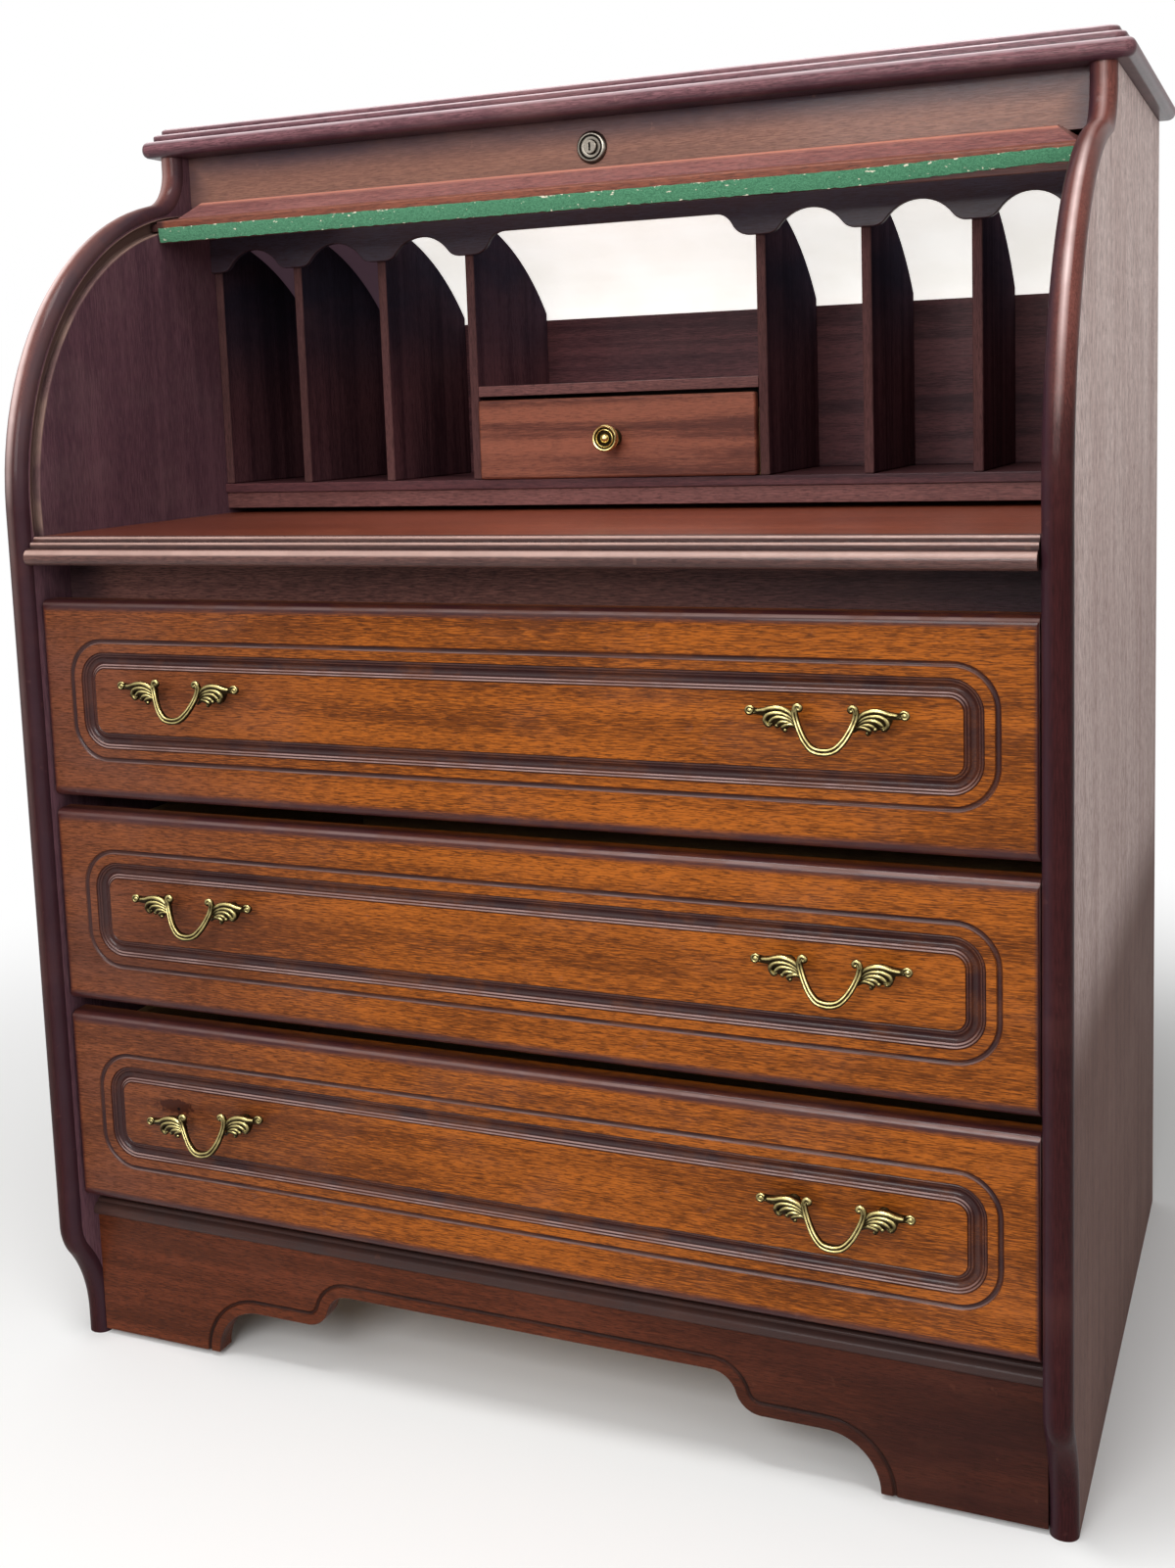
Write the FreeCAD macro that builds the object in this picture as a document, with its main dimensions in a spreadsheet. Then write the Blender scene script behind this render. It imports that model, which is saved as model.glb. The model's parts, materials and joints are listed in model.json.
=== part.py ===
import FreeCAD, Part
import math
import operator
import os

import Sketcher

# Driving dimensions of the desk, in millimetres and degrees.
# Setbacks count backwards from the front of the side panels, heights upwards from the floor.
SIZES = {
    # Side panels and their rounded front lippings
    "carcass_width": 910,
    "carcass_depth": 625,
    "carcass_height": 1106,
    "side_thick": 22,
    "lipping_depth": 11,
    "nose_radius": 10,
    "foot_setback": 32,
    "foot_straight": 20,
    "foot_rise": 98,
    "foot_upper_radius": 50,
    "cove_angle": 12,
    "cove_radius": 38,
    # Circular track of the roll, as large as the carcass depth allows
    "track_front_room": 14,
    "track_rear_room": 67,
    "track_top_room": 57,
    "track_width": 11.5,
    "track_depth": 8,
    "track_front_angle": 96,
    "track_rear_angle": 90,
    # Top board in three tiers
    "top_width": 940,
    "top_overhang": 8.6,
    "top_corner": 9,
    "top_roll_thick": 16,
    "top_roll_round": 7,
    "top_tier_thick": 6,
    "top_tier_inset": 8,
    "top_cap_thick": 6,
    "top_cap_inset": 14,
    # Fixed boards of the carcass
    "fascia_clearance": 3.2,
    "fascia_thick": 20,
    "fascia_height": 48,
    "back_thick": 6,
    "back_inset": 6,
    "back_bottom": 112,
    "bottom_thick": 16,
    "bottom_height": 128,
    "apron_setback": 58,
    "apron_thick": 18,
    "apron_clearance": 3,
    "apron_height": 40,
    # Bracketed plinth
    "plinth_setback": 35,
    "plinth_thick": 18,
    "plinth_height": 134,
    "plinth_lift": 5,
    "plinth_round": 3,
    "bracket_length": 171,
    "shoulder_length": 52,
    "shoulder_height": 49,
    "arch_run": 42,
    "arch_height": 81,
    # Pull-out writing board with its moulded front edge
    "writing_clearance": 0.5,
    "writing_thick": 18,
    "writing_rear_gap": 65,
    "writing_gap": 1.2,
    "edge_depth": 27,
    "edge_setback": 12,
    "edge_step": 5,
    "edge_fillet": 3,
    "edge_roll": 7,
    "slide_runner_width": 18,
    "slide_runner_height": 14,
    "slide_runner_start": 84,
    # Three long drawers
    "drawer_count": 3,
    "drawer_setback": 15,
    "drawer_gap": 2,
    "drawer_space": 12,
    "drawer_lift": 11,
    "drawer_lap": 5,
    "front_thick": 20,
    "front_round": 8,
    "ring_end_margin": 26,
    "ring_margin_share": 0.1875,
    "ring_corner": 35,
    "ring_width": 5,
    "ring_depth": 2,
    "panel_margin": 12,
    "panel_corner": 25,
    "panel_width": 15,
    "panel_depth": 4,
    "line_least_side": 2,
    "box_gap": 3,
    "box_wall": 12,
    "box_rear_gap": 90,
    "box_lift": 16,
    "box_drop": 30,
    "box_back_drop": 20,
    "box_floor_lift": 8,
    "box_floor_thick": 4,
    "runner_width": 14,
    "runner_height": 12,
    "runner_start": 62,
    "runner_clearance": 0.3,
    # Swan-neck pulls
    "pull_end_margin": 151,
    "pull_rise": 12,
    "pull_post_spread": 35,
    "pull_post_radius": 3.5,
    "pull_stand": 12,
    "pull_leaf_curl": 20,
    "pull_leaf_tip": 59,
    "pull_leaf_crest": 11,
    "pull_leaf_dip": 3,
    "pull_leaf_thick": 8,
    "pull_bail_radius": 25,
    "pull_bail_slant": 27,
    "pull_wire": 2.7,
    "pull_tilt": 8,
    "pull_tilt_drop": 7,
    # Pigeonhole unit
    "pigeon_behind": 25,
    "pigeon_rear_room": 79,
    "pigeon_rise": 6,
    "pigeon_floor_thick": 9,
    "pigeon_floor_lip": 3,
    "riser_thick": 10,
    "riser_gap": 5,
    "partition_thick": 9,
    "partition_clearance": 3.5,
    "bay_centre": 144.5,
    "end_bay_less": 2.5,
    "low_back_thick": 6,
    "valance_thick": 6,
    "valance_clearance": 2.8,
    "valance_height": 34,
    "valance_rise": 20,
    "valance_swell": 14,
    "valance_shoulder": 32,
    "pendant_half": 8,
    "shelf_rise": 79,
    "shelf_thick": 10,
    # Small drawer in the centre bay
    "small_gap": 1.5,
    "small_proud": 6,
    "small_front_thick": 12,
    "small_clearance": 0.3,
    "small_height": 75,
    "small_wall": 8,
    "small_side_height": 60,
    "small_rear_gap": 12,
    "small_floor_lift": 4,
    "small_floor_thick": 3,
    "knob_height": 37,
    "knob_radius": 12.5,
    "knob_reach": 24,
    "knob_dome": 6,
    "knob_rim": 3,
    "knob_neck": 11,
    "knob_stem": 5,
    "knob_flange": 9,
    "knob_flange_thick": 2,
    # Roll of slats on canvas, drawn closed about the track centre
    "roll_open_angle": 80,
    "roll_gap": 1,
    "roll_clearance": 1,
    "rail_depth": 21,
    "rail_below": 22,
    "rail_rise_angle": 8.38,
    "tongue_clearance": 3.5,
    "tongue_thick": 7.2,
    "tongue_length": 6,
    "felt_thick": 1.5,
    "felt_inset": 2,
    "felt_end": 2,
    "strip_width": 32,
    "strip_bevel": 17,
    "strip_height": 12,
    "strip_end": 6,
    "strip_end_bevel": 17.5,
    "slat_count": 20,
    "slat_pitch": 4,
    "slat_gap": 0.06,
    "slat_clearance": 0.6,
    "slat_crown": 3.9,
    "slat_thick": 10.4,
    "slat_first": 3.5,
    "canvas_thick": 0.8,
    "canvas_end": 2,
    "tail_gap": 0.33,
    "tail_rear": 19.2,
    "tail_lip": 6,
    "tail_lip_height": 9.5,
    # Cam lock in the fascia
    "lock_drop": 26,
    "lock_radius": 9,
    "lock_length": 28,
    "lock_seat": 0.05,
    "bezel_radius": 14.5,
    "bezel_thick": 4,
    "bezel_round": 2.5,
    "plug_radius": 6,
    "plug_clearance": 0.05,
    "plug_proud": 3,
    "plug_tail": 0.3,
    "keyway_width": 1.6,
    "keyway_height": 7,
    "keyway_depth": 9,
    "cam_width": 13,
    "cam_length": 29,
    "cam_thick": 3,
}

OPERATORS = {"+": operator.add, "-": operator.sub, "*": operator.mul, "/": operator.truediv}

doc = FreeCAD.newDocument("RollTopDesk")
sheet = doc.addObject("Spreadsheet::Sheet", "Sizes")
pieces = {}


class Size:
    """A number together with the sheet formula that gives it."""

    def __init__(self, value, text):
        self.value = float(value)
        self.text = text

    def __add__(self, other):
        return combine(self, "+", other)

    def __radd__(self, other):
        return combine(other, "+", self)

    def __sub__(self, other):
        return combine(self, "-", other)

    def __rsub__(self, other):
        return combine(other, "-", self)

    def __mul__(self, other):
        return combine(self, "*", other)

    def __rmul__(self, other):
        return combine(other, "*", self)

    def __truediv__(self, other):
        return combine(self, "/", other)

    def __neg__(self):
        return combine(0, "-", self)


class Corner:
    """A corner of an outline, reached by a straight run or, given a radius, by an arc."""

    def __init__(self, x, y, radius=None, left=True):
        self.x = as_size(x)
        self.y = as_size(y)
        self.radius = None if radius is None else as_size(radius)
        self.left = left


class Sheet:
    """The driving dimensions by name, each as a Size."""

    def __getattr__(self, name):
        return Size(SIZES[name], f"Sizes.{name}")


size = Sheet()


def as_size(item):
    """Give a plain number the form of a Size."""
    if isinstance(item, Size):
        return item
    return Size(item, f"({float(item)})")


def combine(left, sign, right):
    """Join two sizes by an arithmetic sign."""
    left, right = as_size(left), as_size(right)
    return Size(OPERATORS[sign](left.value, right.value), f"({left.text} {sign} {right.text})")


def sine(angle):
    """Sine of an angle in degrees."""
    return Size(math.sin(math.radians(angle.value)), f"sin({angle.text})")


def cosine(angle):
    """Cosine of an angle in degrees."""
    return Size(math.cos(math.radians(angle.value)), f"cos({angle.text})")


def root(area):
    """Square root."""
    return Size(math.sqrt(area.value), f"sqrt({area.text})")


def smaller(first, second):
    """The lesser of two sizes."""
    return Size(min(first.value, second.value), f"min({first.text}; {second.text})")


def fill_sheet():
    """Write the driving dimensions into the sheet, one aliased row each."""
    for row, (name, value) in enumerate(SIZES.items(), start=1):
        sheet.set(f"A{row}", name.replace("_", " "))
        sheet.set(f"B{row}", str(value))
        sheet.setAlias(f"B{row}", name)
    doc.recompute()


def bind(target, path, amount):
    """Tie a property or constraint to its formula."""
    target.setExpression(path, as_size(amount).text)


def place(target, x, y, z, turn=None):
    """Put a piece at x, y, z, turned about the X axis."""
    if turn is not None:
        target.Placement = FreeCAD.Placement(
            FreeCAD.Vector(), FreeCAD.Rotation(FreeCAD.Vector(1, 0, 0), as_size(turn).value))
        bind(target, "Placement.Rotation.Angle", turn)
    bind(target, "Placement.Base.x", x)
    bind(target, "Placement.Base.y", y)
    bind(target, "Placement.Base.z", z)


def keep(label, piece):
    """Register a finished piece under the name of its file."""
    piece.Label = label
    pieces[label] = piece
    return piece


def make_box(name, x, y, z):
    """A square-edged board between pairs of x, y and z limits."""
    box = doc.addObject("Part::Box", name)
    for length, axis, (low, high) in zip(("Length", "Width", "Height"), "xyz", (x, y, z)):
        bind(box, length, high - low)
        bind(box, f"Placement.Base.{axis}", low)
    return box


def board(label, x, y, z):
    """A square-edged board that is a piece of its own."""
    return keep(label, make_box(label, x, y, z))


def group(label, members):
    """Several like solids that share one piece."""
    joined = doc.addObject("Part::Compound", label)
    joined.Links = members
    return keep(label, joined)


def make_body(label):
    """An empty body that becomes a piece."""
    return keep(label, doc.addObject("PartDesign::Body", label))


def arc_between(start, end, radius, left):
    """The arc under half a circle that turns left or right from start to end."""
    chord = end - start
    half = chord.Length / 2
    side = FreeCAD.Vector(-chord.y, chord.x, 0).normalize() * (1 if left else -1)
    centre = (start + end) / 2 + side * math.sqrt(max(radius ** 2 - half ** 2, 0))
    first, last = (start, end) if left else (end, start)
    begin = math.atan2(first.y - centre.y, first.x - centre.x)
    finish = math.atan2(last.y - centre.y, last.x - centre.x)
    if finish < begin:
        finish += 2 * math.pi
    return Part.ArcOfCircle(Part.Circle(centre, FreeCAD.Vector(0, 0, 1), radius), begin, finish)


def draw_outline(sketch, corners):
    """Draw a closed outline and tie each corner and radius to its formula."""
    first = sketch.GeometryCount
    count = len(corners)
    points = [FreeCAD.Vector(c.x.value, c.y.value, 0) for c in corners]
    constraints = []
    formulas = []
    for i, corner in enumerate(corners):
        start, end = points[i - 1], points[i]
        if corner.radius is None:
            sketch.addGeometry(Part.LineSegment(start, end))
        else:
            sketch.addGeometry(arc_between(start, end, corner.radius.value, corner.left))
            constraints.append(Sketcher.Constraint("Radius", first + i, corner.radius.value))
            formulas.append(corner.radius)
    for i, corner in enumerate(corners):
        after = (i + 1) % count
        arrive = 2 if corner.radius is None or corner.left else 1
        leave = 1 if corners[after].radius is None or corners[after].left else 2
        constraints.append(Sketcher.Constraint("Coincident", first + i, arrive, first + after, leave))
        formulas.append(None)
        for kind, amount in (("DistanceX", corner.x), ("DistanceY", corner.y)):
            constraints.append(Sketcher.Constraint(kind, -1, 1, first + i, arrive, amount.value))
            formulas.append(amount)
    offset = sketch.ConstraintCount
    sketch.addConstraint(constraints)
    for i, amount in enumerate(formulas):
        if amount is not None:
            bind(sketch, f"Constraints[{offset + i}]", amount)


def origin_feature(body, role):
    """One of the body's own planes or axes."""
    return next(item for item in body.Origin.OriginFeatures if item.Role == role)


def new_sketch(body, plane, *outlines, offset=0):
    """A sketch on one of the body's own planes, shifted along the plane's normal."""
    sketch = body.newObject("Sketcher::SketchObject", f"{body.Name}_sketch")
    sketch.AttachmentSupport = [(origin_feature(body, plane), "")]
    sketch.MapMode = "FlatFace"
    bind(sketch, "AttachmentOffset.Base.z", offset)
    for outline in outlines:
        draw_outline(sketch, outline)
    return sketch


def pad(body, sketch, depth, backwards=False):
    """Raise a sketch to a solid."""
    feature = body.newObject("PartDesign::Pad", f"{body.Name}_pad")
    feature.Profile = sketch
    bind(feature, "Length", depth)
    feature.Reversed = backwards
    return feature


def pocket(body, sketch, depth, backwards=False):
    """Cut a sketch into the body."""
    feature = body.newObject("PartDesign::Pocket", f"{body.Name}_pocket")
    feature.Profile = sketch
    bind(feature, "Length", depth)
    feature.Reversed = backwards
    return feature


def revolve(body, profile, axis="Y_Axis"):
    """Spin a profile in the XY plane about one of the body's own axes."""
    feature = body.newObject("PartDesign::Revolution", f"{body.Name}_turning")
    feature.Profile = new_sketch(body, "XY_Plane", profile)
    feature.ReferenceAxis = (origin_feature(body, axis), [""])
    feature.Angle = 360


def make_cylinder(name, radius, length, x, y, z):
    """A rod that runs backwards from x, y, z."""
    rod = doc.addObject("Part::Cylinder", name)
    bind(rod, "Radius", radius)
    bind(rod, "Height", length)
    place(rod, x, y, z, turn=-90)
    return rod


def cut(label, base, tool):
    """A piece that is one solid less another."""
    remainder = doc.addObject("Part::Cut", label)
    remainder.Base = base
    remainder.Tool = tool
    return keep(label, remainder)


def round_edges(body, feature, radius, chosen):
    """Round those edges of a feature that the test chooses."""
    doc.recompute()
    names = [f"Edge{i}" for i, edge in enumerate(feature.Shape.Edges, start=1) if chosen(edge)]
    fillet = body.newObject("PartDesign::Fillet", f"{body.Name}_fillet")
    fillet.Base = (feature, names)
    bind(fillet, "Radius", radius)
    return fillet


def middle(edge):
    """Midpoint of an edge."""
    return edge.valueAt((edge.FirstParameter + edge.LastParameter) / 2)


def near(a, b):
    """Whether two lengths agree."""
    return abs(a - b) < 0.001


def rectangle(x, y):
    """Outline of a rectangle between pairs of limits."""
    return [Corner(x[0], y[0]), Corner(x[1], y[0]), Corner(x[1], y[1]), Corner(x[0], y[1])]


def rounded_rectangle(half_width, half_height, radius):
    """Outline of a rectangle round the origin with rounded corners."""
    flat, rise = half_width - radius, half_height - radius
    return [
        Corner(flat, -half_height), Corner(half_width, -rise, radius),
        Corner(half_width, rise), Corner(flat, half_height, radius),
        Corner(-flat, half_height), Corner(-half_width, rise, radius),
        Corner(-half_width, -rise), Corner(-flat, -half_height, radius),
    ]


def on_circle(centre, distance, angle, **arc):
    """A corner at a distance from a centre, at an angle forwards from upright."""
    return Corner(centre[0] - distance * sine(angle), centre[1] + distance * cosine(angle), **arc)


def retrace(chain):
    """The same run of corners, followed backwards."""
    back = [Corner(chain[-1].x, chain[-1].y)]
    for here, before in zip(chain[:0:-1], chain[-2::-1]):
        back.append(Corner(before.x, before.y, here.radius, not here.left))
    return back


def across_middle(chain):
    """A run of corners from the right, carried on by its mirror image across x = 0."""
    twin = [Corner(-c.x, c.y, c.radius, not c.left) for c in retrace(chain)]
    return chain + twin


def mirror_piece(label, source):
    """The other-handed twin of a piece, across the desk's middle."""
    twin = doc.addObject("Part::Mirroring", label)
    twin.Source = source
    twin.Normal = FreeCAD.Vector(1, 0, 0)
    return keep(label, twin)


# Places that several pieces share
inner_half = size.carcass_width / 2 - size.side_thick
pull_reach = size.pull_stand + size.pull_bail_radius * sine(size.pull_bail_slant) + size.pull_wire
front = (pull_reach - size.drawer_setback - size.carcass_depth) / 2
drawer_face = front + size.drawer_setback
across = (-inner_half, inner_half)

# The roll's track, and the radii of the roll inside it
track_radius = (size.carcass_depth - size.track_front_room - size.track_rear_room) / 2
track_inner = track_radius - size.track_width
track_setback = size.track_front_room + track_radius
track_y = front + track_setback
track_height = size.carcass_height - size.track_top_room - track_radius
rail_outer = track_radius - size.roll_clearance
rail_inner = rail_outer - size.rail_depth
slat_outer = track_radius - size.slat_clearance
slat_shoulder = slat_outer - size.slat_crown
slat_inner = slat_outer - size.slat_thick
rail_above = slat_inner * sine(size.rail_rise_angle) / cosine(size.rail_rise_angle)

# What lies in front of the roll and over it
cove_setback = track_setback + size.cove_radius - (track_setback + size.cove_radius) * sine(size.cove_angle)
top_setback = cove_setback - size.top_overhang
strip_radius = rail_outer + size.strip_height
strip_rear = track_y + rail_above * sine(size.roll_open_angle) - strip_radius * cosine(size.roll_open_angle)

# Heights and depths under the roll
writing_height = track_height - size.rail_below - size.felt_thick - size.writing_clearance
writing_under = writing_height - size.writing_thick
writing_rear = front + size.carcass_depth - size.writing_rear_gap
apron_top = writing_under - size.apron_clearance
apron_bottom = apron_top - size.apron_height
drawer_lowest = size.plinth_height + size.drawer_lift
drawer_room = apron_bottom + size.drawer_lap - drawer_lowest
drawer_pitch = (drawer_room + size.drawer_space) / size.drawer_count
drawer_height = drawer_pitch - size.drawer_space

# The pigeonhole unit, inside the roll
pigeon_setback = track_setback + size.pigeon_behind
pigeon_rear = track_setback + track_radius - size.pigeon_rear_room
pigeon_floor = track_height + size.pigeon_rise


def side_front(inset):
    """Front edge of a side panel from floor to top, moved inwards by an inset."""
    ogee = (size.foot_rise * size.foot_rise + size.foot_setback * size.foot_setback) / (2 * size.foot_setback)
    share = size.foot_upper_radius / ogee
    lean_cos, lean_sin = 1 - size.foot_setback / ogee, size.foot_rise / ogee
    foot_top = size.foot_straight + size.foot_rise
    radius = track_setback
    turn_sin, turn_cos = sine(size.cove_angle), cosine(size.cove_angle)
    cove_y = cove_setback + inset
    cove_z = track_height + (radius + size.cove_radius) * turn_cos
    return [
        Corner(size.foot_setback + inset, 0),
        Corner(size.foot_setback + inset, size.foot_straight),
        Corner(size.foot_setback * share + inset * lean_cos,
               foot_top - size.foot_rise * share + inset * lean_sin,
               ogee - size.foot_upper_radius + inset),
        Corner(inset, foot_top, size.foot_upper_radius - inset, left=False),
        Corner(inset, track_height),
        Corner(radius - (radius - inset) * turn_sin, track_height + (radius - inset) * turn_cos,
               radius - inset, left=False),
        Corner(cove_y, cove_z, size.cove_radius + inset),
        Corner(cove_y, size.carcass_height),
    ]


def track_outline():
    """The groove that guides the roll, from below the writing board's top over to the rear."""
    outer, inner = track_radius, track_inner
    low, top, rear = size.track_front_angle, as_size(0), -size.track_rear_angle
    centre = (track_setback, track_height)
    return [
        on_circle(centre, outer, low),
        on_circle(centre, outer, top, radius=outer, left=False),
        on_circle(centre, outer, rear, radius=outer, left=False),
        on_circle(centre, inner, rear),
        on_circle(centre, inner, top, radius=inner),
        on_circle(centre, inner, low, radius=inner),
    ]


def distance_to(chain, spot):
    """Least distance from a point to a chain of corners in the YZ plane."""
    target = Part.Vertex(FreeCAD.Vector(spot.y, spot.z, 0))
    lengths = []
    for before, here in zip(chain, chain[1:]):
        start = FreeCAD.Vector(before.x.value, before.y.value, 0)
        end = FreeCAD.Vector(here.x.value, here.y.value, 0)
        run = Part.LineSegment(start, end)
        if here.radius is not None:
            run = arc_between(start, end, here.radius.value, here.left)
        lengths.append(run.toShape().distToShape(target)[0])
    return min(lengths)


def make_sides():
    """Both side panels with the roll's groove, and their rounded front lippings."""
    panel = make_body("side_panel_left")
    outline = side_front(size.lipping_depth)
    outline.append(Corner(size.carcass_depth, size.carcass_height))
    outline.append(Corner(size.carcass_depth, 0))
    pad(panel, new_sketch(panel, "YZ_Plane", outline), size.side_thick)
    pocket(panel, new_sketch(panel, "YZ_Plane", track_outline(), offset=size.side_thick), size.track_depth)
    place(panel, -size.carcass_width / 2, front, 0)

    lipping = make_body("lipping_left")
    nose = side_front(as_size(0))
    strip = nose + retrace(side_front(size.lipping_depth))
    solid = pad(lipping, new_sketch(lipping, "YZ_Plane", strip), size.side_thick)
    rise = size.carcass_height.value

    def on_nose(edge):
        spot = middle(edge)
        upright = near(edge.BoundBox.XLength, 0) and 0.1 < spot.z < rise - 0.1
        return upright and distance_to(nose, spot) < 0.01

    round_edges(lipping, solid, size.nose_radius, on_nose)
    place(lipping, -size.carcass_width / 2, front, 0)

    mirror_piece("side_panel_right", panel)
    mirror_piece("lipping_right", lipping)


def make_top():
    """The top board: a rounded roll under two stepped tiers, moulded on front and ends."""
    body = make_body("top_board")
    depth = size.carcass_depth - top_setback
    corner = size.top_corner

    def tier(inset, low):
        half = size.top_width / 2 - inset
        outline = [
            Corner(half - corner, inset), Corner(half, inset + corner, corner),
            Corner(half, depth), Corner(-half, depth),
            Corner(-half, inset + corner), Corner(corner - half, inset, corner),
        ]
        return new_sketch(body, "XY_Plane", outline, offset=low)

    def moulded(edge):
        return near(edge.BoundBox.ZLength, 0) and not near(edge.BoundBox.YMin, depth.value)

    roll = pad(body, tier(as_size(0), 0), size.top_roll_thick)
    round_edges(body, roll, size.top_roll_round, moulded)
    pad(body, tier(size.top_tier_inset, size.top_roll_thick), size.top_tier_thick)
    pad(body, tier(size.top_cap_inset, size.top_roll_thick + size.top_tier_thick), size.top_cap_thick)
    place(body, 0, front + top_setback, size.carcass_height)


def make_carcass_boards():
    """The fixed square boards between the sides."""
    rear = front + size.carcass_depth - size.back_inset
    board("back_panel", across, (rear - size.back_thick, rear), (size.back_bottom, size.carcass_height))
    plinth_rear = front + size.plinth_setback + size.plinth_thick
    board("bottom_board", across, (plinth_rear, rear - size.back_thick),
          (size.bottom_height - size.bottom_thick, size.bottom_height))
    apron = front + size.apron_setback
    board("apron_rail", across, (apron, apron + size.apron_thick), (apron_bottom, apron_top))


def make_plinth():
    """The bracketed plinth with its stepped arch."""
    body = make_body("plinth_board")
    rise = size.arch_height - size.shoulder_height
    swing = (size.arch_run * size.arch_run + rise * rise) / (4 * rise)
    toe = size.shoulder_height - size.plinth_lift
    shoulder = inner_half - size.bracket_length
    step = shoulder - size.shoulder_length
    arch = [
        Corner(shoulder + toe, size.plinth_lift), Corner(shoulder, size.shoulder_height, toe),
        Corner(step, size.shoulder_height),
        Corner(step - size.arch_run / 2, size.shoulder_height + rise / 2, swing, left=False),
        Corner(step - size.arch_run, size.arch_height, swing),
    ]
    ends = [
        Corner(-inner_half, size.plinth_lift), Corner(-inner_half, size.plinth_height),
        Corner(inner_half, size.plinth_height), Corner(inner_half, size.plinth_lift),
    ]
    sketch = new_sketch(body, "XZ_Plane", across_middle(arch) + ends)
    solid = pad(body, sketch, size.plinth_thick, backwards=True)
    top = size.plinth_height.value
    round_edges(body, solid, size.plinth_round,
                lambda edge: near(edge.BoundBox.ZMin, top) and near(edge.BoundBox.YMax, 0))
    place(body, 0, front + size.plinth_setback, 0)


def make_writing_slide():
    """The pull-out writing board, its moulded edge and the two runners under it."""
    half = inner_half - size.writing_gap
    board("writing_board", (-half, half), (front + size.edge_depth, writing_rear),
          (writing_under, writing_height))

    edge = make_body("writing_edge")
    roll = size.edge_roll
    first, second = size.edge_setback, size.edge_setback - size.edge_step
    nose = second - size.edge_fillet
    top = writing_height
    low = top - 2 * size.edge_step
    outline = [
        Corner(size.edge_depth, top), Corner(first, top), Corner(first, top - size.edge_step),
        Corner(second, top - size.edge_step), Corner(second, low), Corner(nose, low),
        Corner(nose - roll, low - roll, roll), Corner(nose, low - 2 * roll, roll),
        Corner(size.edge_depth, low - 2 * roll),
    ]
    pad(edge, new_sketch(edge, "YZ_Plane", outline), 2 * half)
    place(edge, -half, front, 0)

    runner_top = writing_under - size.runner_clearance
    run = (front + size.slide_runner_start, writing_rear)
    rise = (runner_top - size.slide_runner_height, runner_top)
    group("slide_runners", [
        make_box("slide_runner_left", (-inner_half, size.slide_runner_width - inner_half), run, rise),
        make_box("slide_runner_right", (inner_half - size.slide_runner_width, inner_half), run, rise),
    ])


def make_drawer_front(label, bottom):
    """A long drawer's front with two sunk lines round its panel."""
    body = make_body(label)
    half, rise = inner_half - size.drawer_gap, drawer_height / 2
    outline = rectangle((-half, half), (-rise, rise))
    solid = pad(body, new_sketch(body, "XZ_Plane", outline), size.front_thick, backwards=True)
    round_edges(body, solid, size.front_round,
                lambda edge: near(edge.BoundBox.YMax, 0) and near(edge.BoundBox.ZLength, 0))
    ring_half, ring_rise = half - size.ring_end_margin, rise - drawer_height * size.ring_margin_share
    ring = sunk_line(ring_half, ring_rise, size.ring_corner, size.ring_width)
    pocket(body, new_sketch(body, "XZ_Plane", *ring), size.ring_depth)
    panel = sunk_line(ring_half - size.panel_margin, ring_rise - size.panel_margin,
                      size.panel_corner, size.panel_width)
    pocket(body, new_sketch(body, "XZ_Plane", *panel), size.panel_depth)
    place(body, 0, drawer_face, bottom + rise)


def sunk_line(half_width, half_height, corner, width):
    """The outer and inner outlines of a line of even width round the origin."""
    radius = smaller(corner, half_height - size.line_least_side)
    return (rounded_rectangle(half_width, half_height, radius),
            rounded_rectangle(half_width - width, half_height - width, radius - width))


def make_pull():
    """The pattern for every swan-neck pull: two posts, two leaves and a half-round bail, slanted forwards."""
    slant = size.pull_bail_slant
    members = []
    for side, sign in (("left", -1), ("right", 1)):
        members.append(make_cylinder(f"pull_post_{side}", size.pull_post_radius, size.pull_stand,
                                     sign * size.pull_post_spread, -size.pull_stand, 0))
        leaf = doc.addObject("PartDesign::Body", f"pull_leaf_{side}")
        curl, tip, crest = size.pull_leaf_curl, size.pull_leaf_tip, size.pull_leaf_crest
        seat = 2 * size.pull_bail_radius - curl
        outline = [
            Corner(sign * curl, 0), Corner(sign * seat, 0), Corner(sign * tip, 0),
            Corner(sign * tip, crest / 2), Corner(sign * size.pull_post_spread, crest),
            Corner(sign * seat, crest - size.pull_leaf_dip), Corner(sign * curl, crest),
        ]
        half = size.pull_leaf_thick / 2
        pad(leaf, new_sketch(leaf, "XZ_Plane", outline, offset=-half), size.pull_leaf_thick)
        place(leaf, 0, -size.pull_stand, 0, turn=-slant)
        members.append(leaf)
    bail = doc.addObject("Part::Torus", "pull_bail")
    bind(bail, "Radius1", size.pull_bail_radius)
    bind(bail, "Radius2", size.pull_wire)
    bail.Angle3 = 180
    place(bail, 0, -size.pull_stand, 0, turn=-slant - 90)
    pull = doc.addObject("Part::MultiFuse", "pull_pattern")
    pull.Shapes = members + [bail]
    return pull


def hang_pull(name, pattern, x, z, tilt=0):
    """A copy of the pull on a drawer face, tilted about the Y axis."""
    pull = doc.addObject("App::Link", name)
    pull.LinkedObject = pattern
    pull.Placement = FreeCAD.Placement(FreeCAD.Vector(),
                                       FreeCAD.Rotation(FreeCAD.Vector(0, 1, 0), as_size(tilt).value))
    place(pull, x, drawer_face, z)
    return pull


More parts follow.
